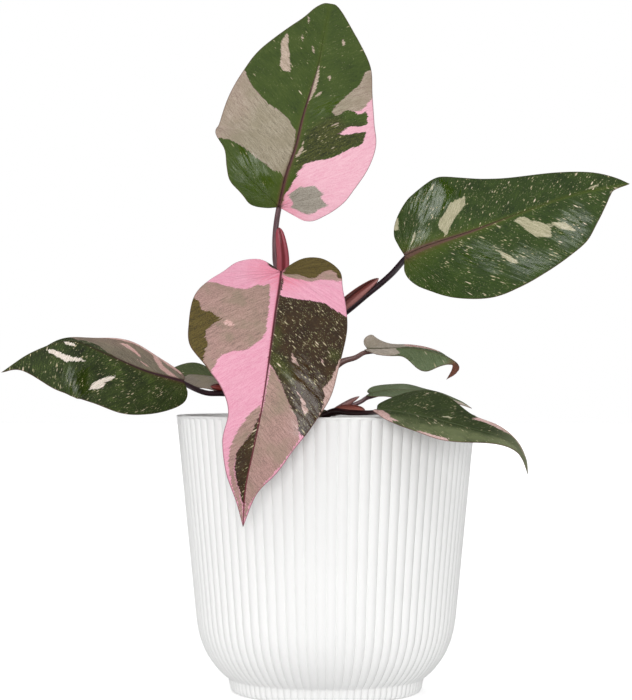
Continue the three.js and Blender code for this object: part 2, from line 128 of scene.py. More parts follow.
MARKS["right"] = {
    "cream": [
        [(39, -22), (36, -16), (32, -13), (29, -11), (24, -6), (21, -2), (20, -6), (19, -8), (20, -12),
         (24, -15), (29, -20), (35, -21)],
        [(53, 2), (58, 2), (60, 5), (63, 7), (67, 11), (66, 17), (59, 14), (56, 9)],
        [(67, 10), (71, 10), (75, 12), (78, 18), (71, 14)],
        [(38, 9), (42, 15), (46, 21), (46, 23), (42, 21), (41, 17)],
        [(47, 18), (51, 22), (48, 20)],
        [(99, -4), (90, -1), (97, -2)],
        [(59, -11), (54, -8), (56, -10)],
        [(53, -9), (48, -6), (51, -8)],
        [(4, -25), (2, -17), (0, -18), (-1, -27)],
        [(9, -11), (8, -8), (4, -4), (7, -9)],
        [(25, -36), (23, -32), (20, -31)],
        [(53, -22), (50, -19), (51, -21)],
        [(80, -15), (74, -13), (77, -14)],
        [(101, 3), (105, 0.5), (104, 2)],
    ],
    "gloss": [
        [(14, -15), (24, -17), (35, -26), (31, -37), (19, -37), (12, -28)],
        [(4, -3), (7, -10), (13, -12), (12, -4)],
        [(23, 6), (36, 8), (40, 14), (34, 20), (25, 14)],
        [(43, 22), (50, 19), (58, 21), (64, 27), (52, 32), (45, 30)],
        [(67, 17), (73, 9), (82, 7), (87, 13), (79, 22), (70, 23)],
    ],
}

# Lines that two marks of the front leaf share.
OLIVE_TAUPE = [(28, 34), (33, 32), (33, 28), (36, 25), (36, 22), (40, 26), (44, 29), (48, 29), (51, 27),
               (55, 28), (61, 28)]
TAUPE_PINK = [(14, 28), (16, 24), (17, 17), (16, 13), (11, 9), (13, 8), (10, 5), (11, 4), (16, 4), (24, 3),
              (40, 3), (45, 5), (51, 10), (54, 17), (56, 21), (62, 23)]

LEAVES["front"] = {
    "midrib": [(-20.3, -40, 193.7), (-21, -49, 186.4), (-22.5, -61, 174.4), (-25.1, -77, 151.4),
               (-27.7, -85, 132.4), (-30.8, -88, 116.6), (-34.4, -88, 99.1), (-35.6, -86, 82.2)],
    "face": [(0, -1, 0.8), (0, -1, 0.3), (0, -1, 0)],
    "left": {"fold": (7, 1, -4, 8, 16), "curl": -4, "outline": [
        (0, 0), (-7, 5), (-11, 11), (-10, 19), (-2, 26.5), (9, 28.5), (20, 31), (33, 32.5), (50, 31),
        (66, 29), (80, 23), (92, 17), (103, 12), (114, 5.2), (129, 0)]},
    "right": {"fold": (8, 13, 16, 14, 8), "curl": -4, "outline": [
        (0, 0), (-5, 5), (-8, 11), (-5, 20), (3, 26), (12, 31.5), (25, 36.5), (40, 37), (53, 35), (63, 26.5),
        (72, 18.5), (82, 14), (94, 14), (106, 10), (117, 4), (129, 0)]},
    "petiole": [(-9, 0, 172), (-12, -8, 178), (-15, -18, 186), (-18.5, -29, 190.5)],
    "radii": (2.1, 1.8, 1.5, 1.4),
    "veins": 12,
    "rib": (0.5, 0.3, 1),
}
MARKS["front"] = {
    "olive": [
        [(25, 38), *OLIVE_TAUPE, (65, 24), (66, 31), (51, 40), (27, 42)],
        [(1, -1), (2, -2), (2, -8), (5, -13), (4, -16), (0, -19), (-2, -22), (0, -25), (4, -26), (1, -33),
         (-15, -30), (-17, -7)],
    ],
    "taupe": [
        [(25, 38), (14, 33), *TAUPE_PINK, (64, 25), *OLIVE_TAUPE[::-1]],
        [(79, 4), (76, 1), (77, 0), (87, 2), (98, 7), (106, 6.2), (113, 2.9), (119, 0.9), (127, 0.2),
         (119, 2.8), (111, 6.2), (104, 9.2), (96, 10.2), (88, 8.4)],
        [(2, -2), (2, -8), (5, -13), (4, -16), (0, -19), (-2, -22), (0, -25), (5, -27), (5, -18), (7, -14),
         (5, -6), (4, -3)],
        [(57, -1), (63, -6), (71, -10), (80, -16), (87, -18.4), (94, -15.6), (102, -11.6), (110, -7),
         (119, -2.5), (126, -0.4), (94, 0)],
    ],
    "pink": [
        [(0, 0), (-3, 5), (-15, 13), (-6, 30), (11, 38), *TAUPE_PINK, (64, 27), (78, 24), (94, 18), (104, 16),
         (103, 12), (96, 11), (88, 8), (79, 4), (76, 1), (64, 0.5), (29, 0)],
        [(4, -2), (6, -10), (7, -14), (5, -18), (5, -28), (10, -34), (28, -37), (24, -29), (23, -26),
         (20, -22), (19, -15), (19, -10), (18, -3), (17, -1)],
        [(95, 11), (104, 8.8), (112, 5.8), (120, 2.2), (128, 0.2), (135, 0), (124, 6), (108, 16), (100, 16)],
        [(86, -19.4), (94, -15.6), (102, -11.6), (110, -7), (119, -2.5), (126, -0.4), (135, 0), (124, -6),
         (108, -14), (90, -22)],
    ],
    "cream": [
        [(48, -9), (55, -14), (53, -10)],
        [(61, -15), (65, -18), (64, -16)],
        [(65, -13), (71, -18), (75, -20), (78, -19), (71, -16)],
        [(48, -22), (51, -25), (51, -23)],
        [(46, -32), (48, -30.3), (53, -29.3), (57, -28.5), (63, -25), (66, -26), (69, -26), (74, -25.5),
         (82, -22.5), (84, -24), (75, -29), (57, -36)],
    ],
    "rose": [
        [(36.4, 20), (38.6, 17), (40.6, 18), (39.8, 21.4), (37.6, 22.6)],
        [(18, 17.4), (20, 16.8), (19.4, 18.6)],
    ],
    "gloss": [
        [(50, -13), (60, -10), (72, -14), (84, -17), (92, -16), (88, -23), (72, -26), (58, -23)],
        [(88, 3), (96, 4), (106, 5), (98, 7), (90, 6)],
    ],
    "moss": [
        [(49, -0.5), (50, -3), (52, -6), (56, -10), (62, -12), (64, -11), (62, -8), (59, -4), (57, -1)],
        [(44, -26), (44, -30), (47, -31), (49, -29), (48, -26)],
        [(35, -0.5), (37, -3), (45, -4), (49, -1)],
    ],
}

LEAVES["left"] = {
    "midrib": [(-65.5, -20, 144.8), (-82.3, -26, 149.4), (-99, -32, 156.7), (-115, -38, 162.8),
               (-131, -45, 158), (-144.5, -52, 148.7)],
    "face": [(0, -0.85, 0.52), (0, -0.8, 0.6), (0, -0.7, 0.7)],
    "left": {"fold": (-18, -1, -6, -22, -33), "curl": -3, "outline": [
        (0, 0), (-3, 5), (-2, 10), (4, 15), (14, 20.5), (26, 25.4), (40, 26.2), (48, 27.2), (54, 28),
        (60, 27), (66, 24.6), (75, 18.4), (84, 4.3), (92, 0)]},
    "right": {"fold": (-31, -28, -40, -50, -56), "curl": -3, "outline": [
        (0, 0), (-1, 5), (3, 12), (10, 18.5), (21, 24.5), (34, 26), (48, 23.5), (62, 19), (75, 12.5),
        (86, 5.5), (93, 0)]},
    "ease": 24,  # mm over which its bend is shared out, so that the near half stays flat
    "petiole": [(-7, 1, 127), (-20, -3, 133), (-35.4, -8, 137.6), (-47.2, -13, 139), (-54.5, -15.5, 139.2),
                (-60, -17.5, 141)],
    "radii": (2, 1.7, 1.5, 1.3, 1.3, 1.2),
    "veins": 9,
    "rib": (0.9, 0.2, 1.5),
}
MARKS["left"] = {
    "taupe": [
        [(51, 11), (46, 11), (41, 8), (38, 2), (33, 0), (28, 0), (0, 0), (-4, 13), (3, 30), (35, 35),
         (52, 30)],
    ],
    "cream": [
        [(69, -1), (65, -3), (61, -6), (57, -8), (47, -8), (53, -10), (61, -10), (67, -4)],
        [(60, 0), (55, -1), (54, -2.5), (58, -2)],
        [(44, -21), (41, -16), (38, -13), (32, -9), (33, -12), (36, -14), (36, -17), (39, -19)],
    ],
    "gloss": [[(44, -21), (48, -13), (58, -14), (64, -20), (56, -26), (48, -25)]],
    "rose": [
        [(14, 20), (10, 15), (9, 10), (2, 0.5), (7, 0.8), (11, 6), (13, 12)],
        [(31, 20), (27, 16), (20, 11), (23, 17), (27, 21)],
        [(24, 8), (16, 3.5), (19, 7)],
        [(52, 24), (42, 25), (34, 24.4), (21, 22.6), (10, 16), (1, 6), (-6, 8), (0, 30), (40, 34)],
    ],
}

LEAVES["back_left"] = {
    "midrib": [(-43, 18, 145), (-50.6, 18, 146.4), (-58.4, 18, 147.4), (-66, 18, 147.8), (-73.8, 18, 146.6),
               (-81.4, 18, 143.6)],
    "face": [(0, -0.6, 0.8), (0, -0.6, 0.8), (0, -0.6, 0.8)],
    "left": {"fold": (6, 9, 11, 14, 12), "curl": -2, "outline": [
        (0, 0), (-3, 5), (0, 10), (8, 13), (18, 12), (28, 8), (39, 0)]},
    "right": {"fold": (-26, -21, -6, 3, 5), "curl": -4, "outline": [
        (0, 0), (-3, 5), (0, 10), (8, 13), (18, 12), (28, 8), (39, 0)]},
    "petiole": [(-7, 2, 131), (-17, 7, 136), (-28, 13, 140), (-38, 16.5, 142.5)],
    "radii": (1.7, 1.4, 1.2, 1.1),
    "veins": 6,
    "rib": (0.5, 0.2, 1),
}
MARKS["back_left"] = {
    "taupe": [[(2, 0), (22, 0), (26, -4), (30, -14), (-4, -14), (-4, -4)]],
}

LEAVES["upper_right"] = {
    "midrib": [(19.8, 6, 159.8), (27.8, 3, 160), (37.1, 0, 160.3), (46.4, -2, 159.1), (53.8, -4, 156.8),
               (60, -5, 153.6), (59.7, -6, 150.2), (56, -7, 145.4)],
    "face": [(0, -0.4, 0.9), (0, -0.6, 0.8), (0.4, -0.7, 0.6)],
    "left": {"fold": (20, -16, -24, -36, -36), "curl": -2, "outline": [
        (0, 0), (-3, 4), (-3.5, 8), (-1, 10.5), (3, 8.5), (9, 7.5), (17, 8.5), (26, 9.5), (34, 8), (42, 4),
        (48, 2), (53, 0)]},
    "right": {"fold": (12, 4, -14, -28, -28), "curl": -3, "outline": [
        (0, 0), (-1, 2.5), (2, 5), (7, 8), (13, 8.5), (19, 7), (27, 11), (33, 10.5), (38, 5), (43, 2),
        (53, 0)]},
    "petiole": [(-6.5, 1, 140), (-0.5, 3, 147.5), (7.1, 5, 153.6), (13.7, 6, 155.8), (17.6, 6.5, 158)],
    "radii": (2.2, 2, 1.9, 1.3, 1.1),
    "veins": 6,
    "rib": (0.5, 0.2, 1),
}
MARKS["upper_right"] = {
    "taupe": [[(-6, -14), (22, -14), (17, -7), (19, -3), (14, 1), (17, 5), (9, 12), (-4, 12)]],
    "rose": [[(16, -6), (20, -3), (27, -3.4), (33, -6), (36, -14), (16, -14)]],
}

LEAVES["lower_right"] = {
    "midrib": [(22.2, -69, 132.4), (32.3, -72, 131.3), (45.6, -75, 128.8), (55.9, -77, 126.2),
               (63.3, -78, 124.2), (75.1, -79, 120.9), (82.2, -79, 116.7), (85.8, -78, 111.1),
               (87.4, -77, 104.5)],
    "face": [(0, -0.5, 0.86), (0.1, -0.5, 0.86), (0.6, -0.5, 0.7)],
    "left": {"fold": (-7, 2, -7, -9, -10), "curl": -2, "outline": [
        (0, 0), (-1, 6), (2, 13), (8, 20), (18, 23), (30, 21), (42, 16.5), (54, 11.5), (66, 5), (77, 0)]},
    "right": {"fold": (20, 10, 8, 11, 4), "curl": -4, "outline": [
        (0, 0), (-1, 3), (2, 7), (8, 12.5), (18, 16), (32, 17), (44, 14.5), (56, 9), (67, 4), (77, 0)]},
    "petiole": [(-1, -37, 129), (4, -45, 131.2), (11, -56, 130.9), (17.5, -63.5, 130.9)],
    "radii": (1.7, 1.6, 1.3, 1.1),
    "veins": 8,
    "rib": (0.6, 0.2, 1),
}
MARKS["lower_right"] = {
    "pink": [
        [(0, 2), (3, 1.6), (5, 4), (8, 6.5), (8.5, 9.5), (13, 11.6), (10, 12.6), (12, 15), (11, 20), (3, 20),
         (-4, 5)],
        [(22, 15.4), (30, 15.2), (36, 14.8), (36, 24), (22, 24)],
        [(41, -10.4), (46, -11), (50, -9.4), (56, -7), (61, -6.6), (67, -1), (72, -1), (67, -9), (54, -18),
         (44, -16)],
    ],
    "cream": [
        [(28, -3), (31, -5), (34, -5), (31, -3)],
        [(26, 4), (29, 5), (27, 5.5)],
    ],
}

LEAVES["rear_right"] = {
    "midrib": [(20.7, -22, 138.9), (29.3, -23, 140.5), (40.8, -24, 140.3), (52.2, -25, 138.2),
               (61.3, -26, 135.2), (66.6, -26, 132.3)],
    "face": [(0, -0.3, 0.95), (0.1, -0.3, 0.95), (0.4, -0.3, 0.9)],
    "left": {"fold": (1, -4, -6, -8, -3), "curl": -2, "outline": [
        (0, 0), (-2, 4.5), (0, 10), (6, 13), (15, 13), (26, 10), (38, 5), (48, 0)]},
    "right": {"fold": (14, 4, -3, -5, -5), "curl": -4, "outline": [
        (0, 0), (-2, 4.5), (0, 9), (6, 12.5), (15, 13), (26, 10), (38, 5), (48, 0)]},
    "petiole": [(-1.5, -35, 128), (3, -30, 131), (9, -26, 132.6), (15.6, -24, 135.2), (18.5, -23, 137)],
    "radii": (1.4, 1.2, 1.1, 1, 1),
    "veins": 6,
    "rib": (0.4, 0.2, 1),
}
MARKS["rear_right"] = {
    "taupe": [[(24, 1), (36, 1), (48, 0), (40, 8), (30, 12), (26, 6)]],
}
# What materials read as the distance from a mark of a leaf that has none.
NO_MARK = 99.0

# The layers of colour from the lowest up: how far their edges run out in fingers, and what lies over them.
LAYERS = {
    "pink": (3.4, ("taupe", "grey")),
    "taupe": (4.0, ("olive",)),
    "olive": (3.6, ()),
    "grey": (3.6, ()),
    "cream": (3.6, ()),
    "rose": (3.4, ()),
}

BLADE = {
    "thickness": 0.5,
    "margin": 0.22,  # thickness at the very edge
    "thins_over": 1.6,
    "rib": 1.15,  # how far the midrib stands out below, at the stalk
    "rib_width": 1.3,
    "rib_ends_over": 10,
    "groove": 0.28,  # how deep the midrib lies above, at the stalk
    "vein_depth": 0.16,
    "vein_slant": 0.85,  # side veins set off towards the tip by this much for each step outwards
    "vein_shift": 0.08,  # how far the halves' veins are out of step, as a share of their spacing
    "ripple": 0.35,  # the waving of the margin
    "ripples": 3.3,
    "ripple_shift": 0.2,
    "noise_apart": 80.0,  # how far apart the halves lie in the noise of their materials
}
# Stations along a blade and steps across each half, for the leaves with many veins and for the others.
MANY_VEINS = 9
FINE_GRID, PLAIN_GRID = (132, 27), (84, 16)

# Nodes are the rings on a stem, as shares of its length.
STEMS = {
    "main_stem": {
        "path": [(-7, 2, 88), (-7, 2, 114), (-6.5, 1, 138), (-6.5, 0, 156), (-9, -1, 173), (-15, -3, 187),
                 (-20.5, -5.5, 196)],
        "radii": (4.4, 4.5, 4.3, 4.1, 4, 3.1, 2),
        "nodes": (0.36, 0.42, 0.53, 0.66, 0.75),
    },
    "side_shoot": {
        "path": [(-4, -26, 90), (-4, -27, 112), (-3, -31, 124), (-1, -37, 130.5)],
        "radii": (3, 3, 2.8, 2.2),
        "nodes": (0.62, 0.85),
    },
}

# Each sheath is a slim boat along its petiole. Its crease faces the way given.
SHEATHS = {
    "top": {
        "path": [(-20, -7.6, 196), (-20.1, -8, 203), (-20.9, -8.2, 209.5), (-22, -7.6, 216.4)],
        "radii": (3, 2.9, 2.5, 1.5),
        "face": (0.1, -1, 0.1),
    },
    "right": {
        "path": [(1, 0, 174.6), (8.5, -4, 180.2), (16.5, -9.3, 186.6), (24.4, -13.6, 192.4)],
        "radii": (2.2, 2.9, 2.6, 1.3),
        "face": (-0.2, -0.9, 0.6),
    },
    "left": {
        "path": [(-28, -6, 138.4), (-37, -9, 140.6), (-46, -12.5, 141.6), (-53.4, -15.1, 142.3)],
        "radii": (1.7, 2.1, 2, 1.5),
        "face": (0, -0.6, 0.8),
    },
    "lower_right": {
        "path": [(3, -40, 130.6), (6.5, -46, 131.8), (11.5, -53.5, 132.2), (17, -60.6, 131.7)],
        "radii": (1.7, 2.1, 2.1, 1.6),
        "face": (0, -0.5, 0.9),
    },
    "rear_right": {
        "path": [(4.5, -30, 131.9), (8.5, -28, 133.9), (12, -26.5, 136), (15.3, -25.6, 137.8)],
        "radii": (1, 1.3, 1.1, 0.4),
        "face": (-0.5, -0.7, 0.6),
    },
}

# Outlines of the pot are radii and heights, over the crests of its ribs.
POT = {
    "height": 129,
    "rim_radius": 70,
    "wall": 2.6,
    "floor": 3.2,
    "lip": 0.9,
    "ribs": 84,
    "rib_depth": 1.25,
    "rib_curve": 0.6,  # height over half width of a rib's arc
    "underside_radius": 43,
    "floor_radius": 38.5,
    "foot": [(44.2, 0.6), (44.9, 2.2), (45.3, 4.4), (45.8, 6.5)],
    "bowl": [(45.8, 6.5), (49.2, 9.3), (52.4, 12.9), (55.2, 16.9), (57, 20.4), (58.6, 24.5), (59.7, 28.5),
             (60.5, 33), (61, 37.3)],
    "inside": [(66.2, 117), (58.2, 36), (57, 28), (54.4, 20.4), (49.8, 12.9), (43.4, 8), (41, 4.4)],
}
SOIL = {"radius": 66.0, "base": 104, "edge": 113, "crown": 116, "rings": 40, "sides": 132}
CRUMBS = {"count": 620, "reach": 64, "sizes": (0.9, 1.2, 1.5, 2.1, 3.0), "bark_share": 0.13}

# ------------------------------------------------------------------ small helpers


def unit(v):
    return v / np.linalg.norm(v, axis=-1, keepdims=True)


def square_to(forward, v):
    """The part of v at right angles to forward, at length 1."""
    return unit(v - np.sum(v * forward, -1, keepdims=True) * forward)


def smooth_curve(points, steps=24):
    """Points of a Catmull-Rom curve through the given ones."""
    p = np.asarray(points, float)
    p = np.vstack([2 * p[0] - p[1], p, 2 * p[-1] - p[-2]])
    t = np.arange(steps)[:, None] / steps
    out = []
    for p0, p1, p2, p3 in zip(p, p[1:], p[2:], p[3:]):
        out.append(0.5 * (2 * p1 + (p2 - p0) * t + (2 * p0 - 5 * p1 + 4 * p2 - p3) * t**2
                          + (3 * p1 - p0 - 3 * p2 + p3) * t**3))
    return np.vstack([*out, p[-2:-1]])


def lengths(points):
    """The distance along a line of points, at each of them."""
    steps = np.linalg.norm(np.diff(np.asarray(points, float), axis=0), axis=1)
    return np.concatenate([[0], np.cumsum(steps)])


def at(points, marks, where):
    """Points of a line, read off at given distances along it."""
    return np.stack([np.interp(where, marks, points[:, i]) for i in range(points.shape[1])], -1)


def spread(values, t):
    """The value at t, from 0 to 1, on a smooth line through evenly spread values or vectors."""
    values = np.asarray(values, float)
    line = smooth_curve(values.reshape(len(values), -1))
    found = at(line, np.linspace(0, 1, len(line)), t)
    return found[..., 0] if values.ndim == 1 else found


def bell(x, width):
    return np.exp(-((x / width) ** 2))


def signed_distance(x, y, outline):
    """The distance from points to an outline in the plane, less than 0 inside it."""
    corners = np.asarray(outline, float)
    nearest = np.full(x.shape, np.inf)
    inside = np.zeros(x.shape, bool)
    for (x0, y0), (x1, y1) in zip(corners, np.roll(corners, -1, axis=0)):
        dx, dy = x1 - x0, y1 - y0
        share = np.clip(((x - x0) * dx + (y - y0) * dy) / max(dx * dx + dy * dy, 1e-9), 0, 1)
        nearest = np.minimum(nearest, np.hypot(x - x0 - share * dx, y - y0 - share * dy))
        if dy:
            inside ^= ((y0 > y) != (y1 > y)) & (x < x0 + (y - y0) * dx / dy)
    return np.where(inside, -nearest, nearest)


def joined(one, other, reach=4.0):
    """The distance to two outlines taken together, with no seam where they meet."""
    near = np.clip(reach - np.abs(one - other), 0, None) / reach
    return np.minimum(one, other) - reach / 4 * near**2


def closed_skin(rings, start, end):
    """Points and faces of a skin over rings of points, closed at a point before them and one after."""
    rows, sides = len(rings), len(rings[0])
    faces = []
    for row in range(rows - 1):
        for i in range(sides):
            j = (i + 1) % sides
            faces.append((row * sides + i, row * sides + j, (row + 1) * sides + j, (row + 1) * sides + i))
    first, last, top = rows * sides, rows * sides + 1, (rows - 1) * sides
    for i in range(sides):
        j = (i + 1) % sides
        faces += [(first, j, i), (last, top + i, top + j)]
    return np.vstack([*rings, start, end]), faces


def make_mesh(name, points_mm, faces, material_of_face=None, attributes=None, smooth=True):
    """A mesh object at the origin, from points in millimetres. Attributes are held on its points."""
    mesh = bpy.data.meshes.new(name)
    mesh.from_pydata((np.asarray(points_mm) * MM).tolist(), [], faces)
    for key, values in (attributes or {}).items():
        kind, field = ("FLOAT", "value") if values.ndim == 1 else ("FLOAT_VECTOR", "vector")
        layer = mesh.attributes.new(key, kind, "POINT")
        layer.data.foreach_set(field, values.astype(np.float32).ravel())
    if material_of_face is not None:
        mesh.polygons.foreach_set("material_index", np.asarray(material_of_face, np.int32))
    mesh.polygons.foreach_set("use_smooth", np.full(len(mesh.polygons), smooth))
    mesh.validate()
    mesh.update()
    piece = bpy.data.objects.new(name, mesh)
    bpy.context.scene.collection.objects.link(piece)
    return piece


def weld(piece, distance=1e-6):
    """Joins points at one place, so that a mesh closes where its rows meet."""
    mesh = bmesh.new()
    mesh.from_mesh(piece.data)
    bmesh.ops.remove_doubles(mesh, verts=mesh.verts, dist=distance)
    mesh.to_mesh(piece.data)
    mesh.free()


def finish_piece(piece, node, slot, *materials):
    """Rides on the part's one body, stands for its node and takes its materials."""
    for material in materials:
        piece.data.materials.append(material)
    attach(piece, "root")
    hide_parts(node)


# ------------------------------------------------------------------ blade meshes


class Blade:
    """The curved sheet of one leaf."""

    def __init__(self, data):
        self.data = data
        self.curve = smooth_curve(data["midrib"])
        self.marks = lengths(self.curve)
        self.length = self.marks[-1]
        self.tangents = unit(np.gradient(self.curve, self.marks, axis=0))
        if "ease" in data:
            apart = np.abs(self.marks[:, None] - self.marks) / data["ease"]
            self.tangents = unit(np.clip(1 - apart, 0, None) @ self.tangents)

    def half(self, side):
        return self.data["right" if side > 0 else "left"]

    def frame_at(self, a):
        """Place, forward, up and right at distance a along the midrib, and its share t of the length."""
        inside = np.clip(a, 0, self.length)
        t = inside / self.length
        forward = unit(at(self.tangents, self.marks, inside))
        place = at(self.curve, self.marks, inside) + (a - inside)[..., None] * forward
        up = square_to(forward, spread(self.data["face"], t))
        return place, forward, up, np.cross(forward, up), t

    def point(self, side, a, b):
        place, _, up, right, t = self.frame_at(a)
        fold = np.radians(spread(self.half(side)["fold"], t))
        bend = math.radians(self.half(side)["curl"]) / 10
        out = (np.sin(fold + bend * b) - np.sin(fold)) / bend
        rise = (np.cos(fold) - np.cos(fold + bend * b)) / bend
        return place + side * right * out[..., None] + up * rise[..., None]

    def normal(self, side, a, b, step=0.1, blend_over=1.5):
        """The way out of the upper face, which both halves share at the midrib."""
        lengthwise = self.point(side, a + step, b) - self.point(side, a - step, b)
        outward = self.point(side, a, b + step) - self.point(side, a, b - step)
        normal = unit(np.cross(outward, lengthwise) * side)
        share = np.clip(b / blend_over, 0, 1)[..., None]
        return unit(self.frame_at(a)[2] * (1 - share) + normal * share)

    def margin(self, side, count):
        """Even stations along a half's outline as (a, b), and the outline's length."""
        outline = np.array(self.half(side)["outline"], float)
        outline[-1, 0] = self.length
        line = smooth_curve(outline, 16)
        marks = lengths(line)
        return at(line, marks, np.linspace(0, marks[-1], count + 1)), marks[-1]


def half_blade(blade, side, edge, edge_length, roots, shares):
    """Upper and lower points of one half, in rows from the midrib out, and what materials read there."""
    u = np.linspace(0, 1, len(edge))
    width = np.maximum(edge[:, 1:], 0)
    a = roots[:, None] + (edge[:, :1] - roots[:, None]) * shares
    b = width * shares
    b[0] = b[-1] = 0
    s = np.broadcast_to(shares, a.shape)
    t = np.clip(a / blade.length, 0, 1)
    to_edge = (1 - s) * width

    phase = (u * blade.data["veins"] + BLADE["vein_shift"] * side)[:, None]
    vein = (0.5 + 0.5 * np.cos(2 * np.pi * phase)) ** 4
    relief = -BLADE["vein_depth"] * vein * np.sin(np.pi * s**0.8) * np.clip(b / 6, 0, 1)
    wave = np.sin(2 * np.pi * (u * BLADE["ripples"] + BLADE["ripple_shift"] * side)) * np.sin(np.pi * u)
    relief = relief + BLADE["ripple"] * wave[:, None] * s**3 * np.clip(b / 12, 0, 1)
    rib_fade = (1 - t) ** 1.2 * np.clip((blade.length - a) / BLADE["rib_ends_over"], 0, 1)
    rib_width = BLADE["rib_width"] * (1 - 0.6 * t)
    banks = 1.4 * bell(b - rib_width, 0.6 * rib_width)
    groove = BLADE["groove"] * rib_fade * (banks - bell(b, 0.6 * rib_width))
    rib = BLADE["rib"] * rib_fade * bell(b, rib_width)
    thick = np.interp(to_edge, (0, BLADE["thins_over"]), (BLADE["margin"], BLADE["thickness"])) / 2

    middle, normal = blade.point(side, a, b), blade.normal(side, a, b)
    top = middle + normal * (thick + relief + 0.35 * groove)[..., None]
    under = middle - normal * (thick - relief + rib)[..., None]
    base_width, tip_width, taper = blade.data["rib"]
    along = np.broadcast_to((u * edge_length)[:, None], a.shape)
    facts = {
        "leaf": np.stack([a, side * b, np.zeros_like(a)], -1),
        "vein": np.stack([along, b, np.full_like(a, BLADE["noise_apart"] * (side > 0))], -1),
        "rib": b / (tip_width + (base_width - tip_width) * (1 - np.minimum(t * 1.6, 1)) ** taper),
        "edge": to_edge,
        "t": t,
    }
    return top, under, facts


def shown_layers(marks):
    """The layers that a leaf with these marks shows, from the lowest up."""
    return [layer for layer, (_, over) in LAYERS.items() if marks.keys() & {layer, *over}]


def mark_distances(leaf, marks):
    """How far points of the flat leaf are from each kind of mark. A layer reaches on below those over it."""
    found = {}
    for layer in ("gloss", "moss", *reversed(shown_layers(marks))):
        found[layer] = np.full(len(leaf), NO_MARK)
        for outline in marks.get(layer, []):
            found[layer] = np.minimum(found[layer], signed_distance(leaf[:, 0], leaf[:, 1], outline))
        for over in LAYERS.get(layer, (0, ()))[1]:
            if over in found:
                found[layer] = joined(found[layer], found[over])
    return found


def blade_faces(points, stations, wide):
    """Faces of the upper side, the underside and the margin, and the material of each: 0 above, 1 below."""
    below = (stations + 1) * wide
    faces, materials = [], []

    def apart(one, other):
        return np.linalg.norm(points[one] - points[other]) > 1e-6

    def quad(corners, material):
        kept = []
        for corner in corners:
            if not kept or apart(corner, kept[-1]):
                kept.append(corner)
        if not apart(kept[0], kept[-1]):
            kept.pop()
        if len(kept) > 2:
            faces.append(kept)
            materials.append(material)

    for row in range(stations):
        for i in range(row * wide, row * wide + wide - 1):
            quad((i, i + 1, i + wide + 1, i + wide), 0)
            quad((below + i, below + i + wide, below + i + wide + 1, below + i + 1), 1)
        left, right = row * wide, row * wide + wide - 1
        quad((left, left + wide, below + left + wide, below + left), 1)
        quad((right, below + right, below + right + wide, right + wide), 1)
    return faces, materials


def blade_mesh(name, data, marks):
    """Both faces of a blade, its margin, the midrib below and the grooves above, as one closed mesh."""
    stations, across = FINE_GRID if data["veins"] >= MANY_VEINS else PLAIN_GRID
    blade = Blade(data)
    margins = {side: blade.margin(side, stations) for side in (-1, 1)}
    slant = BLADE["vein_slant"]
    roots = sum(np.maximum(edge[:, 0] - slant * edge[:, 1], 0) for edge, _ in margins.values()) / 2
    roots = np.minimum(roots, blade.length)
    roots[-1] = blade.length
    shares = np.append(np.linspace(0, 1, across) ** 1.25 * 0.985, 1.0)
    left, right = (half_blade(blade, side, *margins[side], roots, shares) for side in (-1, 1))

    # Points run row by row: the left half from its margin in, the shared midrib, then the right half out.
    def whole(on_left, on_right):
        return np.concatenate([on_left[:, :0:-1], on_right], axis=1).reshape(-1, *on_left.shape[2:])

    points = np.vstack([whole(left[0], right[0]), whole(left[1], right[1])])
    attributes = {key: np.concatenate([whole(left[2][key], right[2][key])] * 2) for key in right[2]}
    attributes |= mark_distances(attributes["leaf"], marks)
    piece = make_mesh(name, points, *blade_faces(points, stations, 2 * across + 1), attributes)
    weld(piece)
    return piece


# ------------------------------------------------------------------ round limbs


def limb_mesh(name, path, radii, rings, sides, shape=None, face=(0.3, -1, 0.2), tip=None):
    """A closed limb along a curve. shape(t, angle) scales its radius, and face is where angle 0 looks."""
    curve = smooth_curve(path)
    marks = lengths(curve)
    t = np.linspace(0, 1, rings + 1)
    centres = at(curve, marks, t * marks[-1])
    forward = unit(np.gradient(centres, axis=0))
    x = square_to(forward, np.array(face, float))
    y = np.cross(forward, x)
    radius = spread(radii, t)
    if tip:
        radius = radius * np.sqrt(np.clip(1 - np.clip((t - 1 + tip) / tip, 0, 1) ** 2, 0.01, 1))
    angles = np.arange(sides) / sides * 2 * np.pi
    r = radius[:, None] * (shape(t[:, None], angles[None, :]) if shape else np.ones(sides))
    ring = (centres[:, None] + x[:, None] * (r * np.cos(angles))[..., None]
            + y[:, None] * (r * np.sin(angles))[..., None])
    points, faces = closed_skin(ring, centres[0], centres[-1])
    turned = (angles + np.pi) % (2 * np.pi) - np.pi
    limb = np.zeros((rings + 1, sides, 3))
    limb[..., 0] = (t * marks[-1])[:, None]
    limb[..., 1] = turned * radius.mean()
    limb[..., 2] = 30 * (np.abs(turned) > np.pi / 2)
    attributes = {
        "limb": np.vstack([*limb, limb[0, :1], limb[-1, :1]]),
        "around": np.append(np.tile(np.abs(turned) / np.pi, rings + 1), [1, 0]),
    }
    return make_mesh(name, points, faces, attributes=attributes)


def petiole_mesh(name, data):
    """A stalk that runs on below its blade and thins out into the midrib."""
    place, _, up, _, _ = Blade(data).frame_at(np.array([0.5, 4.0, 9.0, 15.0]))
    radii = data["radii"][-1] * np.array([0.97, 0.85, 0.6, 0.25])
    below = place - up * (BLADE["thickness"] / 2 + radii)[:, None]
    whole = lengths([*data["petiole"], *below])
    stalk = np.linspace(0, lengths(data["petiole"])[-1], len(data["radii"]))
    t = np.linspace(0, whole[-1], 24)
    radius = np.interp(t, [*stalk, *whole[-4:]], [*data["radii"], *radii])
    return limb_mesh(name, [*data["petiole"], *below], radius, 60, 18)


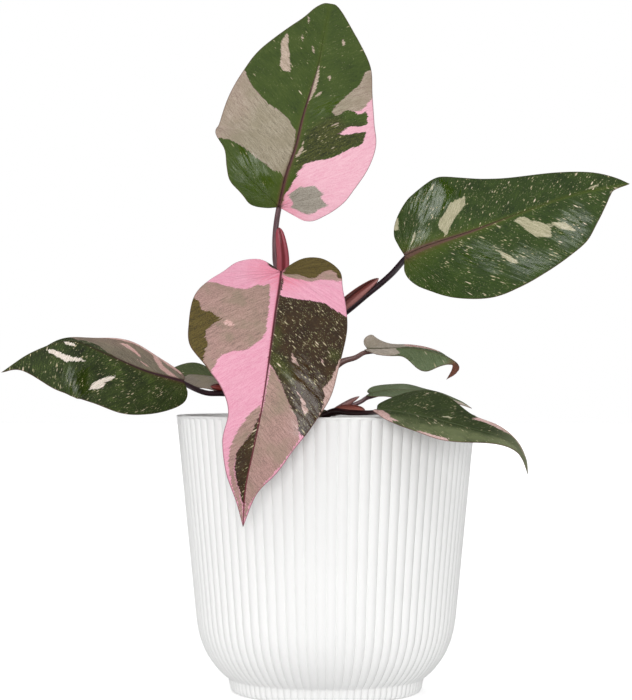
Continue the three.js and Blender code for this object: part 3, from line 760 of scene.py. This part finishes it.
def stem_mesh(name, data):
    """A stem with a swelling and a slanting leaf scar at each node."""
    length = lengths(smooth_curve(data["path"]))[-1]

    def shape(t, angle):
        swell = sum(0.09 * bell((t - n) * length, 2.6) for n in data["nodes"])
        scar = sum(0.05 * bell((t - n) * length + 1.6 * np.cos(angle + 9 * n), 0.5) for n in data["nodes"])
        return 1 + swell - scar + 0.02 * np.cos(7 * angle + 3 * t)

    return limb_mesh(name, data["path"], data["radii"], 110, 40, shape)


def sheath_mesh(name, data):
    """A boat with a crease along its face and a flap on each side of it."""
    def shape(t, angle):
        turned = (angle + np.pi) % (2 * np.pi) - np.pi
        crease = 0.34 * bell(turned, 0.2) * np.clip(8 * (1 - t), 0, 1)
        flaps = 0.1 * (bell(turned - 0.6, 0.35) + bell(turned + 0.6, 0.35))
        return 1 - crease + flaps * (1 - t)

    return limb_mesh(name, data["path"], data["radii"], 48, 40, shape, data["face"], tip=0.16)


# ------------------------------------------------------------------ pot and soil


def pot_mesh(name):
    """The ribbed outside from the foot up, over the lip, and the plain inside down to the floor."""
    depth, height, rim = POT["rib_depth"], POT["height"], POT["rim_radius"]
    pitch = np.array([0, 0.03, 0.07, 0.13, 0.2, 0.29, 0.39, 0.5, 0.61, 0.71, 0.8, 0.87, 0.93, 0.97])
    phase = (np.arange(POT["ribs"])[:, None] + pitch).ravel()
    angles = phase / POT["ribs"] * 2 * np.pi - np.pi / 2
    # Each rib is a round arc, this steep for its width.
    steep = POT["rib_curve"]
    arc = (1 + steep**2) / (2 * steep)
    off_crest = 2 * (phase % 1) - 1
    valley = 1 - (np.sqrt(arc**2 - off_crest**2) - (arc - steep)) / steep

    # Rows of radius, height and depth of the ribs. The wall runs straight from the bowl to the lip.
    start, start_z = POT["bowl"][-1]
    straight = [(start + (rim - start) * k, start_z + (height - start_z) * k) for k in np.linspace(0, 1, 12)]
    outside = [(POT["underside_radius"], 0), *smooth_curve(POT["foot"], 4),
               *smooth_curve(POT["bowl"], 5)[1:], *straight[1:]]
    lip = height - POT["lip"]
    rows = [(r, z, depth * min(1, 0.35 + z / 1.2)) for r, z in outside if z < lip - 2]
    rows += [(rim - 0.2, lip - 0.9, depth), (rim - 0.14, lip - 0.3, 0.7 * depth), (rim - 0.1, lip, 0),
             (rim - 0.03, lip + 0.5, 0), (rim - 0.15, height - 0.25, 0), (rim - 0.55, height, 0)]
    inner = rim - POT["wall"]
    rows += [(inner + 0.6, height, 0), (inner + 0.1, height - 0.35, 0), (inner - 0.1, height - 2, 0),
             *((r, z, 0) for r, z in POT["inside"]), (POT["floor_radius"], POT["floor"], 0)]
    rings = [np.stack([(r - d * valley) * np.cos(angles), (r - d * valley) * np.sin(angles),
                       np.full(len(angles), z)], -1) for r, z, d in rows]
    return make_mesh(name, *closed_skin(rings, (0, 0, 0), (0, 0, POT["floor"])))


def soil_height(r):
    return SOIL["crown"] - (SOIL["crown"] - SOIL["edge"]) * (r / SOIL["radius"]) ** 2


def soil_body():
    """Points and faces of the soil: from the crown out to the edge, down, and in to the base's middle."""
    count, sides = SOIL["rings"], SOIL["sides"]
    around = [(math.cos(2 * math.pi * k / sides), math.sin(2 * math.pi * k / sides)) for k in range(sides)]
    points = [(0, 0, SOIL["crown"])]
    for r in np.linspace(0, SOIL["radius"], count + 1)[1:]:
        for x, y in ((r * cos, r * sin) for cos, sin in around):
            rough = (1.1 * noise.noise(Vector((x / 7, y / 7, 3)))
                     + 0.9 * noise.noise(Vector((x / 2.6, y / 2.6, 8))))
            points.append((x, y, soil_height(r) - 0.5 + rough))
    points += [(SOIL["radius"] * cos, SOIL["radius"] * sin, SOIL["base"]) for cos, sin in around]
    points.append((0, 0, SOIL["base"]))
    foot = len(points) - 1
    faces = []
    for k in range(sides):
        j = (k + 1) % sides
        faces += [(0, 1 + k, 1 + j), (foot - sides + k, foot, foot - sides + j)]
        for ring in range(count):
            inner, outer = 1 + ring * sides, 1 + (ring + 1) * sides
            faces.append((inner + k, outer + k, outer + j, inner + j))
    return points, faces


def soil_mesh(name):
    """Potting soil as one closed body with a crumbled top, and loose crumbs pressed into it."""
    rng = random.Random(11)
    points, faces = soil_body()
    face_kind = [0] * len(faces)
    shell = [(1, 0, 0.1), (0.3, 0.9, -0.1), (-0.8, 0.6, 0.1), (-0.7, -0.7, 0), (0.4, -0.9, 0.1),
             (0.1, 0, 0.75), (0, 0.1, -0.7)]
    shell_faces = [face for i in range(5) for face in ((i, (i + 1) % 5, 5), ((i + 1) % 5, i, 6))]
    for _ in range(CRUMBS["count"]):
        r, angle = CRUMBS["reach"] * math.sqrt(rng.random()), rng.uniform(0, 2 * math.pi)
        size = rng.choice(CRUMBS["sizes"])
        place = Vector((r * math.cos(angle), r * math.sin(angle), soil_height(r) - 0.4 + 0.15 * size))
        turn = Euler((rng.uniform(-0.5, 0.5), rng.uniform(-0.5, 0.5), rng.uniform(0, 6.3))).to_matrix()
        stretch = Vector((rng.uniform(0.8, 1.9), rng.uniform(0.5, 1), rng.uniform(0.4, 0.8)))
        start = len(points)
        for corner in shell:
            points.append(tuple(turn @ (Vector(corner) * stretch * size * rng.uniform(0.85, 1.15)) + place))
        kind = int(rng.random() < CRUMBS["bark_share"])
        faces += [tuple(start + i for i in face) for face in shell_faces]
        face_kind += [kind] * len(shell_faces)
    return make_mesh(name, points, faces, material_of_face=face_kind, smooth=False)


# ------------------------------------------------------------------ shader nodes


def colour(code):
    """A linear colour from a #rrggbb code."""
    parts = [int(code[i:i + 2], 16) / 255 for i in (1, 3, 5)]
    return tuple(c / 12.92 if c <= 0.04045 else ((c + 0.055) / 1.055) ** 2.4 for c in parts) + (1.0,)


class Nodes:
    """Short calls for the nodes of a tree. Values may be numbers, colour codes or sockets."""

    def __init__(self, tree):
        self.nodes, self.links = tree.nodes, tree.links

    def feed(self, socket, value):
        if isinstance(value, bpy.types.NodeSocket):
            self.links.new(value, socket)
        else:
            socket.default_value = colour(value) if isinstance(value, str) else value

    def node(self, kind, inputs=(), **settings):
        made = self.nodes.new(kind)
        for key, value in settings.items():
            setattr(made, key, value)
        for key, value in dict(inputs).items():
            self.feed(made.inputs[key], value)
        return made

    def math(self, operation, a, b):
        return self.node("ShaderNodeMath", {0: a, 1: b}, operation=operation).outputs[0]

    def plus(self, a, b):
        return self.math("ADD", a, b)

    def times(self, a, b):
        return self.math("MULTIPLY", a, b)

    def total(self, *terms):
        """The sum of values, each times its weight."""
        return reduce(self.plus, [self.times(value, weight) for value, weight in terms])


class Shader(Nodes):
    """A material with one Principled surface."""

    def __init__(self, name, **inputs):
        self.material = bpy.data.materials.new(name)
        self.material.use_nodes = True
        super().__init__(self.material.node_tree)
        self.set(**inputs)

    def set(self, **inputs):
        """Sets inputs of the surface by name, with _ for a space, and returns the material."""
        for name, value in inputs.items():
            self.feed(self.nodes["Principled BSDF"].inputs[name.replace("_", " ")], value)
        return self.material

    def attribute(self, name, output="Fac"):
        return self.node("ShaderNodeAttribute", attribute_name=name).outputs[output]

    def place(self):
        return self.node("ShaderNodeNewGeometry").outputs["Position"]

    def scaled(self, vector, x, y):
        return self.node("ShaderNodeVectorMath", {0: vector, 1: (x, y, 1)}, operation="MULTIPLY").outputs[0]

    def step(self, value, low, high, out_low=0.0, out_high=1.0):
        """A soft step of value from low to high. It falls, and is straight, when low is the larger."""
        inputs = {0: value, 1: low, 2: high, 3: out_low, 4: out_high}
        shape = "SMOOTHSTEP" if low < high else "LINEAR"
        return self.node("ShaderNodeMapRange", inputs, interpolation_type=shape).outputs[0]

    def mix(self, share, a, b):
        return self.node("ShaderNodeMix", {0: share, 6: a, 7: b}, data_type="RGBA").outputs[2]

    def three_tones(self, share, tones):
        lower = self.mix(self.step(share, 0.25, 0.5), tones[0], tones[1])
        return self.mix(self.step(share, 0.5, 0.75), lower, tones[2])

    def noise(self, vector, scale, detail, roughness=0.5):
        inputs = {"Vector": vector, "Scale": scale, "Detail": detail, "Roughness": roughness}
        return self.node("ShaderNodeTexNoise", inputs).outputs["Fac"]

    def streaks(self, vector, x, y, detail, roughness=0.5):
        """Noise with x and y features to the unit of the vector's first two axes."""
        return self.noise(self.scaled(vector, x, y), 1.0, detail, roughness)

    def bump(self, height, distance, strength=1.0):
        inputs = {"Height": height, "Distance": distance, "Strength": strength}
        return self.node("ShaderNodeBump", inputs).outputs["Normal"]


# ------------------------------------------------------------------ colours of the plant

# ground runs from dark to light, glow is the tone along the midrib, and near is a painted sheen: a lighter
# greyish green on the half beside the viewer. dots and dashes say how many pale flecks there are and how
# strong they look. Layers have three tones each, hot is what the pink turns to at the stalk, and blush how
# far the taupe turns pink at the margin. rib is the midrib's line, flank the tones to its left and right, and
# rib_to where along the leaf the line starts to fade and where it is gone. tip is the tip's tone, and where
# it starts and is full.
SMALL = {
    "dots": (0.3, 0.5), "pink": ("#c3a5a0", "#d6c0bb", "#e2d2ce"), "hot": "#b0857e", "rib": "#69634c",
    "flank": ("#5c6045", "#5c6045"), "rib_to": (0.6, 1.0),
}
ROSE = ("#b98d84", "#d2a9a1", "#e0bfb8")
LOOKS = {
    "top": {
        "ground": ("#283905", "#3b4e0c", "#4e5c22"), "glow": "#435402", "dots": (0.24, 0.5),
        "dashes": (0.05, 0.9), "moss": ("#1d2105", "#383d0b", "#52541a"),
        "taupe": ("#7c725f", "#9c917c", "#aaa08c"), "pink": ("#df9eb2", "#e5afbd", "#eab9c5"),
        "cream": ("#938472", "#b39f8d", "#c8b5a6"), "grey": ("#7b7468", "#978f83", "#a59e93"),
        "hot": "#dd7c92", "blush": 0.1, "rib": "#5b3434", "flank": ("#5c4a2c", "#5c4a2c"),
        "rib_to": (0.5, 0.68),
    },
    "right": {
        "ground": ("#192c02", "#2c4105", "#3f5413"), "glow": "#485703", "dots": (0.5, 0.8),
        "dashes": (0.3, 1.0), "cream": ("#8f8b6e", "#a8a383", "#bcb598"), "rib": "#5e4135",
        "flank": ("#52481c", "#52481c"), "rib_to": (0.3, 0.5),
    },
    "front": {
        "ground": ("#1c0d02", "#36220a", "#493510"), "glow": "#33260c", "dots": (0.9, 0.8),
        "dashes": (0.42, 1.0), "moss": ("#2c300a", "#434a0e", "#566018"),
        "taupe": ("#857064", "#a5857a", "#b4958a"), "pink": ("#de91ab", "#e4a1b6", "#e9acbf"),
        "cream": ("#9c8078", "#bd9c92", "#ceb2aa"), "olive": ("#3b3210", "#5a4a15", "#675923"),
        "rose": ROSE, "hot": "#e0687f", "blush": 0.08, "rib": "#6b2832",
        "flank": ("#8a5560", "#d3758c"), "rib_to": (1.2, 1.4),
    },
    "left": {
        "ground": ("#0e1104", "#29370a", "#4c5d22"), "glow": "#3b400c", "dots": (0.4, 0.7),
        "dashes": (0.4, 1.0), "taupe": ("#5f5748", "#7d7362", "#918674"),
        "pink": ("#a86f68", "#c9958c", "#dcb0a8"), "cream": ("#bdb5a0", "#e6dbce", "#fbece4"),
        "rose": ROSE, "hot": "#9c5a58", "rib": "#43202a",
        "flank": ("#4c3a1c", "#4c3a1c"), "rib_to": (0.3, 0.7),
    },
    "lower_right": {
        "ground": ("#1a2603", "#2c3b0c", "#3c4b1d"), "glow": "#34430f", "dots": (0.4, 0.7),
        "dashes": (0.3, 0.9), "pink": ("#b99089", "#d3b0aa", "#e0c4c0"),
        "cream": ("#8f8d6e", "#b0ad8e", "#c2bd9f"), "hot": "#b0857e", "rib": "#5c6b41",
        # near is a painted sheen: a lighter greyish green over the half beside the viewer.
        "flank": ("#505f30", "#505f30"), "rib_to": (0.6, 1.0), "near": "#717a51",
        "tip": ("#84896a", 0.6, 1.0),
    },
    "back_left": {
        **SMALL, "ground": ("#313b1a", "#4a552d", "#5f6a42"), "glow": "#4c5a26", "dashes": (0.1, 0.7),
        "taupe": ("#605e4d", "#777464", "#888473"),
    },
    "rear_right": {
        **SMALL, "ground": ("#445232", "#606f4c", "#788467"), "glow": "#5b6b40", "dashes": (0.15, 0.7),
        "taupe": ("#a29b8a", "#b9b2a2", "#c6c0b2"),
    },
}
LOOKS["upper_right"] = {
    **LOOKS["rear_right"], "rose": ROSE, "tip": ("#6e3a2e", 0.72, 0.86),
}
GREENER_TAUPE = "#8a8068"
ROSIER_CREAM = "#c3a99a"
MARGIN_TONE = "#5d3b34"
UNDERSIDE_TONE = "#6b463c"

# Flecks: their spacing across and along the veins in mm, half width as a share of the spacing, which of a
# look's values they take, and their tones.
FLECKS = (
    (0.6, 0.8, 0.26, "dots", ("#7d8452", "#a8a27c")),
    (1.0, 2.3, 0.22, "dashes", ("#98936a", "#cdbf98")),
    (1.5, 4.6, 0.19, "dashes", ("#b5aa86", "#dccbb0")),
)

# Noise on a blade: features to the mm across and along its side veins, detail and roughness.
STREAKS = (1.1, 0.1, 3, 0.6)
FIBRES = (3.6, 0.4, 3, 0.6)
FINGERS = (1.2, 0.22, 4, 0.75)
SWELLS = (0.16, 0.07, 2)
# Noise that is alike all ways: features to the mm, detail and roughness.
CLOUDS = (0.09, 3)
GRAIN = (1.7, 3, 0.65)
CROWDS = (0.13, 2)

# Distances in mm at which a tone starts and is full: the hot one from the stalk, the others from the margin.
HEART_OF_PINK = (18.0, 3.0)
BLUSH_FROM_MARGIN = (28.0, 12.0)
MARGIN_LINE = (0.42, 0.12)
GLOSSY, DULL, DULL_BELOW = 0.2, 0.72, 0.7  # roughness
LEAF_SPECULAR = 0.3
SKIN_RELIEF = 0.001  # metres

# Dark and light tones of the petioles, and groove, body and margin tones of the sheaths.
STALK_TONES = {
    "top": ("#4c3237", "#7d6064"),
    "right": ("#170a0e", "#33202a"),
    "front": ("#3d1d26", "#6e3c47"),
    "left": ("#1b0c10", "#3a222b"),
    "back_left": ("#2b1519", "#4e2c30"),
    "upper_right": ("#6a4a46", "#95716a"),
    "lower_right": ("#1c0d10", "#3a1e22"),
    "rear_right": ("#5a4245", "#836468"),
}
SHEATH_TONES = {
    "top": ("#701c24", "#a84e5a", "#b5525a"),
    # right: the pale margin tone is partly its own colour and partly a painted highlight along its upper
    # edge.
    "right": ("#42150f", "#703630", "#c98a86"),
    "left": ("#3c1010", "#7e2e2a", "#8e3c34"),
    "lower_right": ("#66332a", "#94544a", "#b06c5e"),
    "rear_right": ("#6b4240", "#8a5c58", "#996a66"),
}

# ------------------------------------------------------------------ materials


def with_flecks(s, paint, look, leaf, vein, moss):
    """Pale flecks along the side veins, in loose crowds."""
    crowd = s.noise(leaf, *CROWDS)
    for across, along, radius, kind, tones in FLECKS:
        share, strength = look[kind]
        cells = s.node("ShaderNodeTexVoronoi", {"Vector": s.scaled(vein, 1 / across, 1 / along), "Scale": 1})
        draw, size, tone = s.node("ShaderNodeSeparateColor", {0: cells.outputs["Color"]}).outputs
        distance = s.plus(cells.outputs["Distance"], s.times(size, 0.12))
        spot = s.step(distance, radius + 0.1, radius * 0.7)
        chance = s.plus(s.step(crowd, 0.3, 0.7, 0.3 * share, 1.7 * share), s.times(moss, 0.2))
        chosen = s.math("LESS_THAN", draw, chance)
        paint = s.mix(s.times(s.times(spot, chosen), strength), paint, s.mix(tone, *tones))
    return paint


def with_midrib(s, paint, look, side, rib, t, streaks):
    """The midrib's line, its flanks and, on some leaves, the tip."""
    flank = s.times(s.step(rib, 2.6, 1.0), s.step(t, 0.8, 0.1))
    paint = s.mix(s.times(flank, 0.7), paint, s.mix(side, *look["flank"]))
    fade_from, fade_to = look["rib_to"]
    line = s.times(s.step(rib, 1.15, 0.7), s.step(t, fade_to, fade_from))
    line = s.times(line, s.step(streaks, 0.2, 0.5, 0.75, 0.95))
    paint = s.mix(line, paint, look["rib"])
    if "tip" in look:
        tone, tip_from, tip_to = look["tip"]
        paint = s.mix(s.step(t, tip_from, tip_to, 0.0, 0.9), paint, tone)
    return paint


def blade_material(name, look, marks, under):
    """Ground, flecks and the colour layers of the marks. The underside is duller and redder."""
    s = Shader(name, Specular_IOR_Level=LEAF_SPECULAR)
    leaf, vein = s.attribute("leaf", "Vector"), s.attribute("vein", "Vector")
    rib, t, edge = s.attribute("rib"), s.attribute("t"), s.attribute("edge")
    streaks, fibres = s.streaks(vein, *STREAKS), s.streaks(vein, *FIBRES)
    clouds, grain = s.noise(leaf, *CLOUDS), s.noise(leaf, *GRAIN)
    side = s.step(s.node("ShaderNodeSeparateXYZ", {0: leaf}).outputs["Y"], -0.1, 0.1)

    # How light each spot is within its colour. The ground also follows the clouds.
    shade = s.step(s.total((fibres, 0.4), (grain, 0.35), (streaks, 0.25)), 0.3, 0.7)
    paint = s.three_tones(s.total((clouds, 0.55), (shade, 0.45)), look["ground"])
    # Painted sheen: on some leaves the half beside the viewer turns a lighter greyish green away from the
    # midrib.
    if "near" in look:
        near = s.times(s.step(rib, 3.0, 24.0), s.step(clouds, 0.3, 0.6, 0.2, 0.8))
        paint = s.mix(s.times(side, near), paint, look["near"])
    paint = s.mix(s.times(s.step(rib, 7.0, 0.5), 0.7), paint, look["glow"])
    moss = 0.0
    if "moss" in marks:
        moss = s.step(s.total((s.attribute("moss"), 1), (streaks, 4)), 4.0, -1.0)
        paint = s.mix(s.times(moss, 0.9), paint, s.three_tones(shade, look["moss"]))
    paint = with_flecks(s, paint, look, leaf, vein, moss)

    # The layers' edges run out in fingers along the veins.
    fingers = s.math("SUBTRACT", s.streaks(vein, *FINGERS), 0.5)
    for layer in shown_layers(marks):
        tone = s.three_tones(shade, look[layer])
        if layer == "pink":
            from_stalk = s.node("ShaderNodeVectorMath", {0: leaf}, operation="LENGTH").outputs["Value"]
            heart = s.times(s.step(from_stalk, *HEART_OF_PINK), s.step(streaks, 0.35, 0.65))
            tone = s.mix(heart, tone, look["hot"])
        if layer == "taupe":
            tone = s.mix(s.step(clouds, 0.45, 0.65, 0.0, 0.45), tone, GREENER_TAUPE)
            blush = s.total((edge, 1), (clouds, 24))
            blush = s.step(blush, *BLUSH_FROM_MARGIN, 0.0, look.get("blush", 0.2))
            tone = s.mix(blush, tone, look["pink"][0])
        if layer == "cream":
            tone = s.mix(s.step(grain, 0.55, 0.7, 0.0, 0.6), tone, ROSIER_CREAM)
        reach = s.total((s.attribute(layer), 1), (fingers, LAYERS[layer][0]))
        paint = s.mix(s.step(reach, 0.1, -0.15), paint, tone)

    paint = with_midrib(s, paint, look, side, rib, t, streaks)
    paint = s.mix(s.times(s.step(edge, *MARGIN_LINE), 0.6), paint, MARGIN_TONE)
    if under:
        paint = s.mix(0.5, paint, UNDERSIDE_TONE)

    # Gloss comes and goes in patches and is broken up by the streaks.
    swells = s.streaks(vein, *SWELLS)
    sheen = s.math("MAXIMUM", s.total((s.attribute("gloss"), -0.03), (streaks, 0.6)), 0.1)
    sheen = s.total((sheen, 1), (swells, 0.25))
    relief = s.total((fibres, 0.045), (streaks, 0.05), (grain, 0.02), (swells, 1))
    return s.set(Base_Color=paint, Normal=s.bump(relief, SKIN_RELIEF),
                 Roughness=DULL_BELOW if under else s.step(sheen, 0.3, 0.46, DULL, GLOSSY))


def limb_material(name, dark, light, roughness=0.4):
    """Smooth skin, streaked along its length."""
    s = Shader(name, Roughness=roughness)
    limb = s.attribute("limb", "Vector")
    streaks, mottle = s.streaks(limb, 0.08, 1.4, 3), s.noise(limb, 0.9, 3)
    tone = s.mix(s.step(streaks, 0.35, 0.65), dark, light)
    return s.set(Base_Color=s.mix(s.times(mottle, 0.3), tone, dark),
                 Normal=s.bump(s.total((streaks, 1), (mottle, 0.4)), 0.00012, 0.7))


def sheath_material(name, groove, body, margin):
    """The groove's tone in the crease and behind, and the margin's on the flaps. On the right sheath the pale
    margin tone is partly its own colour and partly a painted highlight.
    """
    s = Shader(name, Roughness=0.38)
    around = s.attribute("around")
    streaks = s.streaks(s.attribute("limb", "Vector"), 0.1, 2.2, 3)
    tone = groove
    for start, end, next_tone in ((0.04, 0.16, body), (0.2, 0.36, margin), (0.45, 0.7, groove)):
        tone = s.mix(s.step(around, start, end), tone, next_tone)
    return s.set(Base_Color=s.mix(s.times(streaks, 0.35), tone, groove), Normal=s.bump(streaks, 0.00012, 0.7))


def pot_material():
    """White plastic, with a faint cloudiness and grain."""
    s = Shader("white_plastic")
    place = s.place()
    clouds = s.noise(place, 30, 3)
    return s.set(Base_Color=s.mix(clouds, "#f4f4f3", "#f9f9f8"), Roughness=s.step(clouds, 0.2, 0.8, 0.3, 0.4),
                 Normal=s.bump(s.noise(place, 1400, 2), 0.00003, 0.4))


def soil_material(name, dark, light):
    s = Shader(name, Roughness=0.95)
    place = s.place()
    clumps, grit = s.noise(place, 260, 4, 0.65), s.noise(place, 1500, 3)
    return s.set(Base_Color=s.mix(s.step(clumps, 0.35, 0.7), dark, light),
                 Normal=s.bump(s.plus(clumps, grit), 0.0006))


# ------------------------------------------------------------------ the pieces


def build_plant():
    for key, data in LEAVES.items():
        upper, lower = (blade_material(f"leaf_{face}_{key}", LOOKS[key], MARKS[key], face == "under")
                        for face in ("upper", "under"))
        finish_piece(blade_mesh("blade_" + key, data, MARKS[key]), "leaf_" + key, "blade", upper, lower)
        skin = limb_material("stalk_" + key, *STALK_TONES[key])
        finish_piece(petiole_mesh("stalk_" + key, data), "petiole_" + key, "petiole", skin)
    for key, data in SHEATHS.items():
        skin = sheath_material("ligule_" + key, *SHEATH_TONES[key])
        finish_piece(sheath_mesh("ligule_" + key, data), "sheath_" + key, "sheath", skin)
    skin = limb_material("stem_skin", "#2c2415", "#56502c", roughness=0.55)
    for key, data in STEMS.items():
        finish_piece(stem_mesh("fleshy_" + key, data), key, "stem", skin)


def build_pot():
    finish_piece(pot_mesh("ribbed_pot"), "pot", "pot", pot_material())
    finish_piece(soil_mesh("potting_soil"), "soil", "soil",
                 soil_material("damp_soil", "#1b120c", "#3d2c20"),
                 soil_material("bark_chips", "#4a3421", "#7a5c40"))


# ------------------------------------------------------------------ stage, light and camera

CAMERA = {"distance": 1.0, "height": 0.1453, "aim": (-0.00469, 1, 0.01408), "lens": 109.57, "sensor": 36}
FLOOR_REACH = 6000  # mm
FLOOR_GLOW = 0.5

# Studio lights: azimuth (0 is the front, and it grows towards the right), elevation, the angle each fills as
# seen from the plant, and its strength. Diffusers light the plant, and softboxes are what its gloss shows.
DIFFUSERS = {
    "key": (-2, 7, 18, 1.12),
    "overhead": (-10, 66, 90, 1.2),
    "left": (-85, 20, 60, 0.3),
    "right": (75, 25, 60, 0.18),
    "back": (180, 20, 44, 2.0),
}
SOFTBOXES = {
    "front": (9, 40, 18, 0.65),
    "right": (30, 42, 14, 0.36),
    "right_low": (36, 27, 13, 0.34),
    "far_right": (79, 28, 16, 0.5),
    "high_left": (-76, 68, 22, 0.9),
    "low": (8, 10, 20, 0.1),
    "rear": (165, 48, 40, 0.15),
}
# The studio around, which gloss doesn't show: its mean brightness, and how that grows towards +X, +Y and +Z.
ROOM = 0.3
ROOM_GROWS = (0, -0.38, -0.1)


def build_floor():
    corners = [(x * FLOOR_REACH, y * FLOOR_REACH, 0) for x, y in ((-1, -1), (1, -1), (1, 1), (-1, 1))]
    floor = make_mesh("floor", corners, [(0, 1, 2, 3)], smooth=False)
    s = Shader("pale_floor", Roughness=0.9, Emission_Color="#ffffff", Emission_Strength=FLOOR_GLOW)
    tone = s.mix(s.noise(s.place(), 3, 2), "#e9e9e9", "#efefef")
    floor.data.materials.append(s.set(Base_Color=tone))
    floor.visible_diffuse = False


def build_lamp(name, azimuth, elevation, angle, strength, gloss):
    a, e = math.radians(azimuth), math.radians(elevation)
    away = Vector((math.sin(a) * math.cos(e), -math.cos(a) * math.cos(e), math.sin(e)))
    light = bpy.data.lights.new(name, "SUN")
    light.angle, light.energy = math.radians(angle), strength
    lamp = bpy.data.objects.new(name, light)
    lamp.location = away * 2
    lamp.rotation_mode = "QUATERNION"
    lamp.rotation_quaternion = away.to_track_quat("Z", "Y")
    lamp.visible_glossy, lamp.visible_diffuse = gloss, not gloss
    bpy.context.scene.collection.objects.link(lamp)


def build_room():
    """Pale surroundings that fade towards the back, and are white where the camera sees them."""
    world = bpy.data.worlds.new("studio")
    bpy.context.scene.world = world
    world.use_nodes = True
    n = Nodes(world.node_tree)
    direction = n.node("ShaderNodeTexCoord").outputs["Generated"]
    along = n.node("ShaderNodeVectorMath", {0: direction, 1: ROOM_GROWS}, operation="DOT_PRODUCT")
    to_camera = n.node("ShaderNodeLightPath").outputs["Is Camera Ray"]
    background = n.nodes["Background"].inputs
    n.feed(background["Color"], "#ffffff")
    n.feed(background["Strength"], n.math("MAXIMUM", n.plus(along.outputs["Value"], ROOM), to_camera))
    world.cycles_visibility.glossy = False


def build_light():
    for name, values in DIFFUSERS.items():
        build_lamp("diffuser_" + name, *values, gloss=False)
    for name, values in SOFTBOXES.items():
        build_lamp("softbox_" + name, *values, gloss=True)
    build_room()
    bpy.context.scene.view_settings.view_transform = "Standard"


def build_camera():
    camera = bpy.data.cameras.new("camera")
    camera.lens, camera.sensor_width = CAMERA["lens"], CAMERA["sensor"]
    camera.clip_start, camera.clip_end = 0.05, 50
    holder = bpy.data.objects.new("camera", camera)
    holder.location = (0, -CAMERA["distance"], CAMERA["height"])
    holder.rotation_mode = "QUATERNION"
    holder.rotation_quaternion = Vector(CAMERA["aim"]).to_track_quat("-Z", "Y")
    bpy.context.scene.collection.objects.link(holder)
    bpy.context.scene.camera = holder


build_camera()
build_pot()
build_plant()
build_floor()
build_light()
